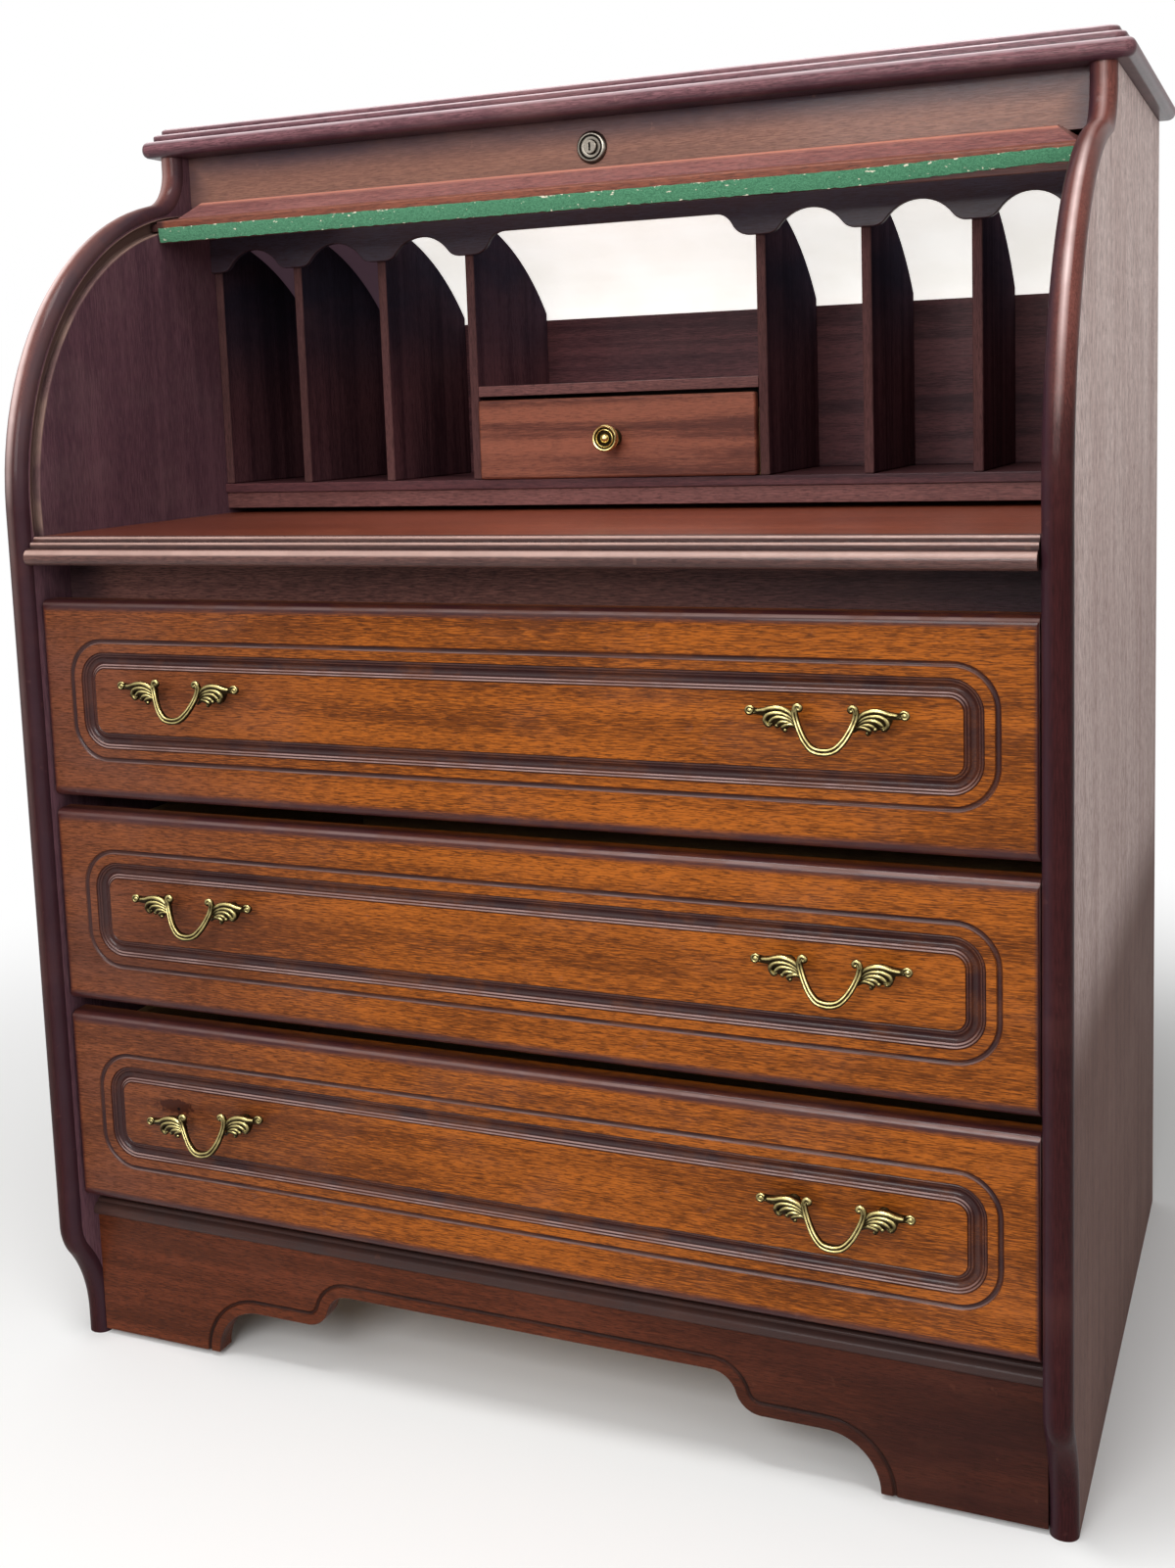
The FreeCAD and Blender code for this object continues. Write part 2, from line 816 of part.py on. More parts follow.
def make_drawers():
    """The long drawers with their runners; the lowest left pull hangs askew."""
    pattern = make_pull()
    doc.recompute()
    runners = []
    for number in range(1, SIZES["drawer_count"] + 1):
        name = f"drawer_{number}"
        bottom = drawer_lowest + (size.drawer_count - number) * drawer_pitch
        make_drawer_front(f"{name}_front", bottom)
        rear_of_front = drawer_face + size.front_thick
        outside = inner_half - size.box_gap
        inside = outside - size.box_wall
        low = bottom + size.box_lift
        run = (rear_of_front, front + size.carcass_depth - size.box_rear_gap)
        rise = (low, bottom + drawer_height - size.box_drop)
        group(f"{name}_sides", [
            make_box(f"{name}_side_left", (-outside, -inside), run, rise),
            make_box(f"{name}_side_right", (inside, outside), run, rise),
        ])
        back = (run[1] - size.box_wall, run[1])
        board(f"{name}_back", (-inside, inside), back, (low, rise[1] - size.box_back_drop))
        floor = low + size.box_floor_lift
        board(f"{name}_bottom", (-inside, inside), (run[0], back[0]), (floor, floor + size.box_floor_thick))

        height = bottom + drawer_height / 2 + size.pull_rise
        lowest = number == SIZES["drawer_count"]
        askew = {"z": height - size.pull_tilt_drop, "tilt": -size.pull_tilt} if lowest else {"z": height}
        spread = inner_half - size.pull_end_margin
        group(f"{name}_pulls", [
            hang_pull(f"{name}_pull_left", pattern, -spread, **askew),
            hang_pull(f"{name}_pull_right", pattern, spread, height),
        ])

        top = low - size.runner_clearance
        shelf = (top - size.runner_height, top)
        length = (front + size.runner_start, writing_rear)
        runners += [
            make_box(f"{name}_runner_left", (-inner_half, size.runner_width - inner_half), length, shelf),
            make_box(f"{name}_runner_right", (inner_half - size.runner_width, inner_half), length, shelf),
        ]
    group("drawer_runners", runners)


def make_pigeonholes():
    """Base, riser, partitions, valance, low back and shelf of the pigeonhole unit."""
    face, rear = front + pigeon_setback, front + pigeon_rear
    floor = pigeon_floor
    under = floor - size.pigeon_floor_thick
    board("pigeon_base", across, (face - size.pigeon_floor_lip, rear + size.low_back_thick), (under, floor))
    board("pigeon_riser", across, (face, face + size.riser_thick), (writing_height + size.riser_gap, under))
    behind = pigeon_rear + size.low_back_thick - track_setback
    board("pigeon_back", across, (rear, rear + size.low_back_thick), (floor, roll_room_height(behind)))
    inside = size.bay_centre - size.partition_thick / 2
    shelf = floor + size.shelf_rise
    board("shelf", (-inside, inside), (face, rear), (shelf, shelf + size.shelf_thick))

    last = inner_half - size.partition_thick / 2
    pitch = (last + size.end_bay_less - size.bay_centre) / 3
    bays = [size.bay_centre, size.bay_centre + pitch, size.bay_centre + 2 * pitch, last]
    for number, middle_x in enumerate([-x for x in reversed(bays)] + bays, start=1):
        make_partition(f"partition_{number}", middle_x)
    make_valance(bays)


def roll_room_height(behind):
    """Height up to which a piece this far behind the track centre stays clear of the roll."""
    room = track_inner - size.partition_clearance
    return track_height + root(room * room - behind * behind)


def make_partition(label, middle_x):
    """An upright partition whose upper rear edge follows the roll."""
    body = make_body(label)
    face, rear = pigeon_setback, pigeon_rear
    outline = [
        Corner(face, pigeon_floor), Corner(face, roll_room_height(face - track_setback)),
        Corner(rear, roll_room_height(rear - track_setback),
               track_inner - size.partition_clearance, left=False),
        Corner(rear, pigeon_floor),
    ]
    pad(body, new_sketch(body, "YZ_Plane", outline), size.partition_thick)
    place(body, middle_x - size.partition_thick / 2, front, 0)


def make_valance(bays):
    """The scalloped strip over the pigeonholes, with a pendant before each partition."""
    body = make_body("valance")
    rise, swell = size.valance_rise, size.valance_swell
    upper = roll_room_height(size.pigeon_behind) - size.valance_clearance
    foot = upper - size.valance_height
    run = [Corner(inner_half, foot)]
    for right, left in zip(bays[:0:-1], bays[-2::-1]):
        start, end = right - size.pendant_half, left + size.pendant_half
        half = (start - end) / 2
        arch = (half * half + rise * rise) / (2 * rise)
        share = swell / arch
        height = foot + rise * share
        run += [
            Corner(start, foot), Corner(start - half * share, height, swell, left=False),
            Corner(end + half * share, height, arch - swell), Corner(end, foot, swell, left=False),
        ]
    shoulder = size.valance_shoulder
    swing = (shoulder * shoulder + rise * rise) / (4 * rise)
    start = bays[0] - size.pendant_half
    run += [
        Corner(start, foot), Corner(start - shoulder / 2, foot + rise / 2, swing, left=False),
        Corner(start - shoulder, foot + rise, swing),
    ]
    top = [Corner(-inner_half, upper), Corner(inner_half, upper)]
    pad(body, new_sketch(body, "XZ_Plane", across_middle(run) + top), size.valance_thick)
    place(body, 0, front + pigeon_setback, 0)


def make_small_drawer():
    """The small drawer of the centre bay with its turned knob."""
    half = size.bay_centre - size.partition_thick / 2 - size.small_gap
    face = front + pigeon_setback - size.small_proud
    low = pigeon_floor + size.small_clearance
    rear_of_front = face + size.small_front_thick
    board("small_drawer_front", (-half, half), (face, rear_of_front), (low, low + size.small_height))
    inside = half - size.small_wall
    run = (rear_of_front, front + pigeon_rear - size.small_rear_gap)
    rise = (low, low + size.small_side_height)
    group("small_drawer_sides", [
        make_box("small_drawer_side_left", (-half, -inside), run, rise),
        make_box("small_drawer_side_right", (inside, half), run, rise),
    ])
    back = (run[1] - size.small_wall, run[1])
    board("small_drawer_back", (-inside, inside), back, rise)
    floor = low + size.small_floor_lift
    board("small_drawer_bottom", (-inside, inside), (run[0], back[0]),
          (floor, floor + size.small_floor_thick))

    neck, reach = size.knob_neck, size.knob_reach
    dome = (size.knob_radius * size.knob_radius + size.knob_dome * size.knob_dome) / (2 * size.knob_dome)
    profile = [
        Corner(0, 0), Corner(size.knob_flange, 0), Corner(size.knob_flange, -size.knob_flange_thick),
        Corner(size.knob_stem, -2 * size.knob_flange_thick), Corner(size.knob_stem, -neck),
        Corner(size.knob_radius, size.knob_dome + size.knob_rim - reach),
        Corner(size.knob_radius, size.knob_dome - reach),
        Corner(0, -reach, dome, left=False),
    ]
    knob = make_body("small_drawer_knob")
    revolve(knob, profile)
    place(knob, 0, face, low + size.knob_height)


def make_roll():
    """The roll: leading rail, felt, pull strip, slats, canvas and tail rail, turned open on the track."""
    half = inner_half - size.roll_gap
    rise = (-size.rail_below, rail_above)
    rail = make_body("roll_rail")
    bar = rectangle((-rail_outer, -rail_inner), rise)
    tongue_face = size.tongue_clearance - track_radius
    tongue = rectangle((tongue_face, tongue_face + size.tongue_thick), rise)
    pad_ends(rail, bar, tongue)

    felt = make_body("roll_felt")
    felt_half = half - size.felt_end
    cover = rectangle((size.felt_inset - rail_outer, -size.felt_inset - rail_inner),
                      (-size.rail_below - size.felt_thick, -size.rail_below))
    pad(felt, new_sketch(felt, "YZ_Plane", cover), 2 * felt_half)
    set_on_track(felt, -felt_half)

    strip = make_body("roll_pull")
    base_half = half - size.strip_end
    crest_half = base_half - size.strip_end_bevel
    low = rail_above - size.strip_width
    base = new_sketch(strip, "XZ_Plane", rectangle((-base_half, base_half), (low, rail_above)),
                      offset=rail_outer)
    crest = new_sketch(strip, "XZ_Plane",
                       rectangle((-crest_half, crest_half), (low + size.strip_bevel, rail_above)),
                       offset=strip_radius)
    loft = strip.newObject("PartDesign::AdditiveLoft", "roll_pull_loft")
    loft.Profile = base
    loft.Sections = [crest]
    loft.Ruled = True
    set_on_track(strip, 0)

    make_slats(half)

    tail = make_body("roll_tail")
    lip = size.tail_rear - size.tail_lip
    slats_begin = slat_inner * sine(size.slat_first - size.slat_pitch / 2)
    plate = rectangle((size.tail_gap - slats_begin, size.tail_rear), (slat_inner, rail_outer))
    hook = rectangle((lip, size.tail_rear), (slat_inner, rail_outer + size.tail_lip_height))
    pad_ends(tail, hook, plate)


def make_slats(half):
    """The crowned slats and the canvas that they are glued to."""
    slats = make_body("roll_slats")
    slats.AllowCompound = True
    spread = size.slat_pitch / 2 - size.slat_gap
    slope = sine(spread) / cosine(spread)
    foot, shoulder = slat_inner * slope, slat_shoulder * slope
    crown = size.slat_crown
    profile = [
        Corner(-foot, slat_inner), Corner(foot, slat_inner), Corner(shoulder, slat_shoulder),
        Corner(-shoulder, slat_shoulder, (shoulder * shoulder + crown * crown) / (2 * crown)),
    ]
    reach = inner_half + size.tongue_length
    slat = pad(slats, new_sketch(slats, "YZ_Plane", profile), 2 * reach)
    pattern = slats.newObject("PartDesign::PolarPattern", "roll_slats_pattern")
    pattern.Originals = [slat]
    pattern.Axis = (origin_feature(slats, "X_Axis"), [""])
    bind(pattern, "Angle", size.slat_pitch * (size.slat_count - 1))
    bind(pattern, "Occurrences", size.slat_count)
    slats.Tip = pattern
    set_on_track(slats, -reach, size.slat_first)

    canvas = make_body("roll_canvas")
    inner, outer = slat_inner - size.canvas_thick, slat_inner
    start = size.slat_first - size.slat_pitch / 2
    end = start + size.slat_count * size.slat_pitch

    hub = (as_size(0), as_size(0))
    sheet_outline = [
        on_circle(hub, inner, start), on_circle(hub, inner, end, radius=inner),
        on_circle(hub, outer, end), on_circle(hub, outer, start, radius=outer, left=False),
    ]
    canvas_half = half - size.canvas_end
    pad(canvas, new_sketch(canvas, "YZ_Plane", sheet_outline), 2 * canvas_half)
    set_on_track(canvas, -canvas_half)


def pad_ends(body, section, end_section):
    """A bar between the sides that also runs, with a smaller section, into both grooves."""
    half = inner_half - size.roll_gap
    step = size.roll_gap + size.tongue_length
    pad(body, new_sketch(body, "YZ_Plane", section), 2 * half)
    pad(body, new_sketch(body, "YZ_Plane", end_section, offset=-step), 2 * (half + step))
    set_on_track(body, -half)


def set_on_track(body, x, ahead=0):
    """Put a piece of the roll on the track, turned to the open position."""
    place(body, x, track_y, track_height, turn=ahead - size.roll_open_angle)


def make_fascia_and_lock():
    """The fascia under the top and the cam lock through it."""
    face = strip_rear + size.fascia_clearance
    height = size.carcass_height - size.lock_drop
    plain = make_box("fascia_board", across, (face, face + size.fascia_thick),
                     (size.carcass_height - size.fascia_height, size.carcass_height))
    seat = size.lock_radius + size.lock_seat
    cut("fascia", plain, make_cylinder("fascia_hole", seat, size.fascia_thick, 0, face, height))

    bore = size.plug_radius + size.plug_clearance
    case = make_cylinder("lock_case", size.lock_radius, size.lock_length, 0, face, height)
    cut("lock_body", case, make_cylinder("lock_bore", bore, size.lock_length, 0, face, height))

    thick, edge = size.bezel_thick, size.bezel_round
    bezel = make_body("lock_bezel")
    revolve(bezel, [
        Corner(bore, -thick), Corner(size.bezel_radius - edge, -thick),
        Corner(size.bezel_radius, edge - thick, edge), Corner(size.bezel_radius, 0), Corner(bore, 0),
    ])
    place(bezel, 0, face, height)

    nose = face - thick - size.plug_proud
    cam_face = face + size.lock_length + size.plug_tail
    barrel = make_cylinder("lock_barrel", size.plug_radius, cam_face - nose, 0, nose, height)
    keyway = make_box("lock_keyway", (-size.keyway_width / 2, size.keyway_width / 2),
                      (nose, nose + size.keyway_depth),
                      (height - size.keyway_height / 2, height + size.keyway_height / 2))
    cut("lock_plug", barrel, keyway)

    cam = make_body("lock_cam")
    wide = size.cam_width / 2
    blade = [
        Corner(0, -wide, wide), Corner(size.cam_length, -wide), Corner(size.cam_length, wide),
        Corner(0, wide), Corner(-wide, 0, wide),
    ]
    pad(cam, new_sketch(cam, "XZ_Plane", blade), size.cam_thick, backwards=True)
    place(cam, 0, cam_face, height)


def check_and_export():
    """Stop on any failed object, then write each piece to its own file."""
    doc.recompute()
    for item in doc.Objects:
        if "Invalid" in item.State or "Error" in item.State:
            raise RuntimeError(f"{item.Label} did not build: {item.State}")
    os.makedirs("parts", exist_ok=True)
    for label, piece in pieces.items():
        shape = piece.Shape
        if shape.isNull() or not shape.isValid():
            raise RuntimeError(f"{label} has no valid shape")
        shape.exportStep(f"parts/{label}.step")


fill_sheet()
make_sides()
make_top()
make_carcass_boards()
make_plinth()
make_writing_slide()
make_drawers()
make_pigeonholes()
make_small_drawer()
make_roll()
make_fascia_and_lock()
check_and_export()
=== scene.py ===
"""Looks of the roll-top desk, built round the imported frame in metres."""
import json
import logging
import math
from contextlib import contextmanager
from dataclasses import dataclass
from enum import Enum
from functools import cached_property, partialmethod, reduce
from typing import Callable, Iterable, Iterator, Optional, Sequence, Union

import bmesh
import bpy
from mathutils import Matrix, Vector

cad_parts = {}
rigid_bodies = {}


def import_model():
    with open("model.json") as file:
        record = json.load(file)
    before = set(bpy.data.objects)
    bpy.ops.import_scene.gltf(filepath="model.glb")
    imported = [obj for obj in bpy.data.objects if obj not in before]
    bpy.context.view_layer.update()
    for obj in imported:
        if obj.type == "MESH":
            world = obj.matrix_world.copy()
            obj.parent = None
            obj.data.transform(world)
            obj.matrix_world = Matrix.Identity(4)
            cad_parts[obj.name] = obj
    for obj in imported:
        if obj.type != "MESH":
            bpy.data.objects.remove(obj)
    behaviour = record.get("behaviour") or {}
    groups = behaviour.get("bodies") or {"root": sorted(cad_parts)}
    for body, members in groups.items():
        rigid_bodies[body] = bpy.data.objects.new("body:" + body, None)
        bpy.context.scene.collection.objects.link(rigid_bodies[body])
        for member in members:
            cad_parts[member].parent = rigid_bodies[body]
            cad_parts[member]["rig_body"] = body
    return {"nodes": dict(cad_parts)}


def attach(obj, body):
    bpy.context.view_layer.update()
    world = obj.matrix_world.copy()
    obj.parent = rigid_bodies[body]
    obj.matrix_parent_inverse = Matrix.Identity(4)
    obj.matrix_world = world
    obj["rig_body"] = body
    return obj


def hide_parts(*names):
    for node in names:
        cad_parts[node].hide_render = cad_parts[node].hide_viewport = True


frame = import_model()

log = logging.getLogger("desk")
Point = tuple[float, float]
Solid = tuple[float, float, float]
Quad = tuple[float, float, float, float]
Colour = tuple[int, int, int]
Span = tuple[str, float, float]
Socket = bpy.types.NodeSocket
Node = bpy.types.Node
Mesh = bpy.types.Mesh
Object = bpy.types.Object
Feed = Union[float, Sequence[float], Socket, "Value"]
Values = dict[str, "Value"]
Lines = Sequence[Sequence[int]]

# Sizes that several pieces share, in millimetres.
MM = 0.001
DEPTH = 625.0
FRONT = -306.975
INNER_HALF = 433.0
SIDE_THICK = 22.0
CARCASS_HEIGHT = 1106.0
TRACK_SETBACK = 286.0
TRACK_DEEP = FRONT + TRACK_SETBACK
TRACK_HEIGHT = 777.0
TRACK_RADIUS = 272.0
OPEN_ANGLE = math.radians(80)
DRAWER_COUNT = 3
DRAWER_FOOT = 145.0
DRAWER_PITCH = 188.0
DRAWER_HALF_HEIGHT = 88.0
DRAWER_SETBACK = 15.0

# Points nearer than MERGE metres become one. Faces that meet at over CREASE degrees keep a sharp edge.
MERGE = 2e-6
CREASE = 38.0

# Painted shade on a casting: an even share everywhere, more on faces that look down, and more on faces that
# look backwards.
FACING_SHADE_EVEN, FACING_SHADE_BELOW, FACING_SHADE_BEHIND = 0.76, 0.8, 0.25


class Grain(Enum):
    """The way that the fibres of a board run: its axes in order, the grain's own first."""

    ACROSS = "XYZ"
    DEEP = "YXZ"
    UPRIGHT = "ZYX"


class Hand(Enum):
    """Left or right piece of a pair, with the sign of its x."""

    LEFT = -1
    RIGHT = 1


def share_of(value: float, start: float, end: float) -> float:
    """How far a value has come on its way from start to end, from 0 to 1."""
    return min(max((value - start) / (end - start), 0), 1)


def drawer_middle(number: int) -> float:
    """Height of the middle of a long drawer, numbered from the top."""
    return DRAWER_FOOT + DRAWER_PITCH * (DRAWER_COUNT - number) + DRAWER_HALF_HEIGHT


# Outlines


@dataclass(frozen=True)
class Corner:
    """A corner of an outline, reached by a straight run or, given a radius, by an arc."""

    x: float
    y: float
    radius: Optional[float] = None
    left: bool = True


def trace(corners: Sequence[Corner], step: float = 7.0, closed: bool = True) -> list[Point]:
    """Follow an outline and its arcs point by point.

    Args:
        corners: Corners in order.
        step: Widest turn between points on an arc, in degrees.
        closed: Whether the last corner runs back to the first.

    Returns:
        The points in millimetres.
    """
    points: list[Point] = [] if closed else [(corners[0].x, corners[0].y)]
    for i in range(0 if closed else 1, len(corners)):
        before, here = corners[i - 1], corners[i]
        if here.radius is not None:
            points += arc_points(before, here, step)
        points.append((here.x, here.y))
    return points


def arc_points(start: Corner, end: Corner, step: float) -> list[Point]:
    """The points between the ends of an arc.

    Args:
        start: Where the arc begins.
        end: Where it ends, with its radius and the way it turns.
        step: Widest turn between points, in degrees.

    Returns:
        The inner points of the arc.
    """
    radius, sign = end.radius, 1 if end.left else -1
    run = Vector((end.x - start.x, end.y - start.y))
    side = Vector((-run.y, run.x)).normalized() * sign
    rise = math.sqrt(max(radius ** 2 - run.length_squared / 4, 0))
    centre = Vector((start.x, start.y)) + run / 2 + side * rise
    begin = math.atan2(start.y - centre.y, start.x - centre.x)
    sweep = (math.atan2(end.y - centre.y, end.x - centre.x) - begin) * sign % math.tau
    count = max(2, math.ceil(math.degrees(sweep) / step - 0.01))
    turns = (begin + sign * sweep * k / count for k in range(1, count))
    return [(centre.x + radius * math.cos(a), centre.y + radius * math.sin(a)) for a in turns]


def across_middle(chain: Sequence[Corner]) -> list[Corner]:
    """A run of corners from the right, carried on by its mirror image.

    Args:
        chain: Corners on the right of x = 0, outermost first.

    Returns:
        The run and its mirror image, ending on the far left.
    """
    twin = [Corner(-chain[-1].x, chain[-1].y)]
    for here, before in zip(chain[:0:-1], chain[-2::-1]):
        twin.append(Corner(-before.x, before.y, here.radius, here.left))
    return list(chain) + twin


def shift_sideways(points: Sequence[Point], amount: float) -> list[Point]:
    """Move an open line to its left by an amount, square to itself.

    Args:
        points: The line's points.
        amount: How far it moves.

    Returns:
        As many points as came in.
    """
    moved = []
    for i, here in enumerate(points):
        before, after = points[max(i - 1, 0)], points[min(i + 1, len(points) - 1)]
        first = Vector((here[0] - before[0], here[1] - before[1]))
        second = Vector((after[0] - here[0], after[1] - here[1]))
        sides = [Vector((-v.y, v.x)).normalized() for v in (first, second) if v.length > 1e-6]
        side = sum(sides, Vector((0, 0))).normalized()
        reach = amount / max(side.dot(sides[0]), 0.4)
        moved.append((here[0] + side.x * reach, here[1] + side.y * reach))
    return moved


def shrink(points: Sequence[Point], amount: float) -> list[Point]:
    """Draw a closed anticlockwise outline inwards by an amount."""
    ring = [points[-1], *points, points[0]]
    return shift_sideways(ring, amount)[1:-1]


def rounded_rectangle(half_width: float, half_height: float, radius: float, parts: int = 12) -> list[Point]:
    """A rectangle round the origin with rounded corners, always with as many points.

    Args:
        half_width: Half its width.
        half_height: Half its height.
        radius: Corner radius.
        parts: Steps in each corner.

    Returns:
        Anticlockwise points.
    """
    points = []
    for quarter, (sx, sy) in enumerate(((1, -1), (1, 1), (-1, 1), (-1, -1))):
        cx, cy = sx * (half_width - radius), sy * (half_height - radius)
        for k in range(parts + 1):
            a = math.radians(90 * (quarter - 1 + k / parts))
            points.append((cx + radius * math.cos(a), cy + radius * math.sin(a)))
    return points


def smooth_line(points: Sequence[Solid], parts: int = 6) -> list[Solid]:
    """Draw an even curve through a few points.

    Args:
        points: Points that the curve passes through.
        parts: Steps between two of them.

    Returns:
        The points of the curve.
    """
    held = [Vector(p) for p in points]
    held = [2 * held[0] - held[1], *held, 2 * held[-1] - held[-2]]
    curve = []
    for a, b, c, d in zip(held, held[1:], held[2:], held[3:]):
        for k in range(parts):
            t = k / parts
            curve.append(0.5 * (2 * b + (c - a) * t + (2 * a - 5 * b + 4 * c - d) * t ** 2
                                + (3 * b - a - 3 * c + d) * t ** 3))
    return [tuple(p) for p in curve + [held[-2]]]


# Meshes


class Shape:
    """A mesh under way, in millimetres, with marks at its points: recess, edge, and wear with painted
    highlight; on several pieces the first two carry painted light and shade.
    """

    def __init__(self) -> None:
        """Start with nothing."""
        self.points: list[Solid] = []
        self.faces: list[list[int]] = []
        self.marks: dict[str, dict[int, float]] = {"recess": {}, "edge": {}, "worn": {}}

    def line(self, points: Iterable[Solid], recess: float = 0, edge: float = 0) -> list[int]:
        """Add a line of points.

        Args:
            points: The points.
            recess: How much of the hollow tone they take, from 0 to 1; on several pieces that tone is painted
                shade.
            edge: How much of the edge tone they take, from 0 to 1; on several pieces that tone is painted
                light.

        Returns:
            Their numbers.
        """
        first = len(self.points)
        self.points += points
        numbers = list(range(first, len(self.points)))
        for name, amount in (("recess", recess), ("edge", edge)):
            self.marks[name].update(dict.fromkeys(numbers, amount) if amount else {})
        return numbers

    def bridge(self, first: Sequence[int], second: Sequence[int], closed: bool = True) -> None:
        """Join two lines of as many points by a band of faces."""
        for i in range(0 if closed else 1, len(first)):
            self.faces.append([first[i - 1], first[i], second[i], second[i - 1]])

    def skin(self, lines: Lines, closed: bool = True) -> None:
        """Join each line to the next."""
        for first, second in zip(lines, lines[1:]):
            self.bridge(first, second, closed)

    def cap(self, line: Sequence[int]) -> None:
        """Close a line with one face."""
        self.faces.append(list(line))

    def loft(self, rings: Lines) -> None:
        """Join closed rings in turn and close both ends."""
        self.skin(rings)
        self.cap(rings[0])
        self.cap(rings[-1])

    def moulding(self, lines: Lines) -> None:
        """Join lines that run from end to end, all round, and close both ends."""
        self.skin([*lines, lines[0]], closed=False)
        for end in (0, -1):
            self.cap([line[end] for line in lines])

    def sheet(self, upper: Lines, lower: Lines) -> None:
        """Join two layers of lines into a sheet with closed rims."""
        for layer in (upper, lower):
            self.skin(layer, closed=False)
        for end in (0, -1):
            self.bridge(upper[end], lower[end], closed=False)
            self.bridge([line[end] for line in upper], [line[end] for line in lower], closed=False)

    def mesh(self, name: str) -> Mesh:
        """Make the mesh, merged, facing outwards and in metres.

        Args:
            name: Name of the mesh.

        Returns:
            The mesh with its marks as attributes.
        """
        made = bpy.data.meshes.new(name)
        made.from_pydata([tuple(MM * c for c in p) for p in self.points], [], self.faces)
        for mark, amounts in self.marks.items():
            if amounts:
                layer = made.attributes.new(mark, "FLOAT", "POINT")
                for number, amount in amounts.items():
                    layer.data[number].value = amount
        with worked(made) as work:
            bmesh.ops.remove_doubles(work, verts=work.verts, dist=MERGE)
        return made


@contextmanager
def worked(mesh: Mesh) -> Iterator[bmesh.types.BMesh]:
    """Open a mesh for work, then turn its faces outwards and close it.

    Args:
        mesh: The mesh to work on.

    Returns:
        The open mesh, for as long as the work lasts.
    """
    work = bmesh.new()
    work.from_mesh(mesh)
    yield work
    bmesh.ops.recalc_face_normals(work, faces=work.faces)
    work.to_mesh(mesh)
    work.free()


def add_object(name: str, data: bpy.types.ID) -> Object:
    """Put a mesh, a curve, a lamp or a camera into the scene at the origin."""
    piece = bpy.data.objects.new(name, data)
    bpy.context.scene.collection.objects.link(piece)
    return piece


def plain_mesh(piece: Object, keep_layers: bool = True) -> Mesh:
    """The mesh that a piece's modifiers make of it.

    Args:
        piece: The piece with its modifiers.
        keep_layers: Whether all layers of data are kept.

    Returns:
        A mesh of its own.
    """
    bpy.context.view_layer.update()
    graph = bpy.context.evaluated_depsgraph_get()
    return bpy.data.meshes.new_from_object(piece.evaluated_get(graph), preserve_all_data_layers=keep_layers,
                                           depsgraph=graph)


def settle(piece: Object) -> Object:
    """Turn a piece's modifiers into its own plain mesh.

    Args:
        piece: The piece with its modifiers.

    Returns:
        The same piece, without modifiers.
    """
    mesh = plain_mesh(piece)
    piece.modifiers.clear()
    piece.data = mesh
    return piece


def even_shading(piece: Object) -> Object:
    """Shade a piece smoothly, with flat faces that stay flat and creases that stay sharp.

    Args:
        piece: The piece.

    Returns:
        The same piece.
    """
    piece.data.shade_smooth()
    piece.data.set_sharp_from_angle(angle=math.radians(CREASE))
    weigh = piece.modifiers.new("flat_faces", "WEIGHTED_NORMAL")
    weigh.keep_sharp = True
    return settle(piece)


def hand_over(piece: Object, finish: "Finish", nodes: Sequence[str]) -> Object:
    """Dress a piece and let it stand for its nodes of the frame.

    Args:
        piece: The finished piece.
        finish: Its finish.
        nodes: The nodes that it stands for, all on one body.

    Returns:
        The same piece.
    """
    piece.data.materials.clear()
    piece.data.materials.append(finish.material)
    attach(piece, frame["nodes"][nodes[0]]["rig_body"])
    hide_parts(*nodes)
    log.info("%s: %d faces, %s", piece.name, len(piece.data.polygons), finish.name)
    return piece


def set_piece(name: str, shape: Shape, finish: "Finish", *nodes: str) -> Object:
    """Make a finished piece from a shape, to stand for nodes of the frame."""
    return hand_over(even_shading(add_object(name, shape.mesh(name))), finish, nodes)


def ease_edges(node: str, finish: "Finish", width: float = 0.8, steps: int = 2) -> Object:
    """A copy of a node of the frame with its sharp edges rounded over.

    Args:
        node: Name of the node.
        finish: Its finish.
        width: Width of the rounding in millimetres.
        steps: Faces across the rounding.

    Returns:
        The piece that stands for the node.
    """
    mesh = frame["nodes"][node].data.copy()
    with worked(mesh) as work:
        bmesh.ops.remove_doubles(work, verts=work.verts, dist=MERGE)
        bmesh.ops.dissolve_limit(work, angle_limit=math.radians(0.5), verts=work.verts, edges=work.edges)
    for layer in [a.name for a in mesh.attributes if a.name in ("custom_normal", "sharp_face")]:
        mesh.attributes.remove(mesh.attributes[layer])
    piece = add_object(f"{node}_eased", mesh)
    ease = piece.modifiers.new("eased_edges", "BEVEL")
    ease.width = width * MM
    ease.segments = steps
    ease.limit_method = "ANGLE"
    ease.angle_limit = math.radians(CREASE)
    return hand_over(even_shading(settle(piece)), finish, [node])


def turn_on_lathe(profile: Sequence[Solid], centre: Solid, bored: bool = False, parts: int = 64) -> Shape:
    """Turn a profile about an axis that runs forwards from a centre.

    Args:
        profile: Radius, reach and depth of recess, from the middle of the front to the rear.
        centre: Where the axis meets the surface that the turning sits on.
        bored: Whether a hole runs through, so that the profile closes on itself.
        parts: Steps in a full turn.

    Returns:
        The turned shape.
    """
    shape = Shape()
    x, y, z = centre
    turns = [math.tau * k / parts for k in range(parts)]
    rings = [shape.line([(x + radius * math.cos(a), y - reach, z + radius * math.sin(a)) for a in turns],
                        recess) for radius, reach, recess in profile]
    if bored:
        shape.skin(rings + rings[:1])
    else:
        shape.loft(rings)
    return shape


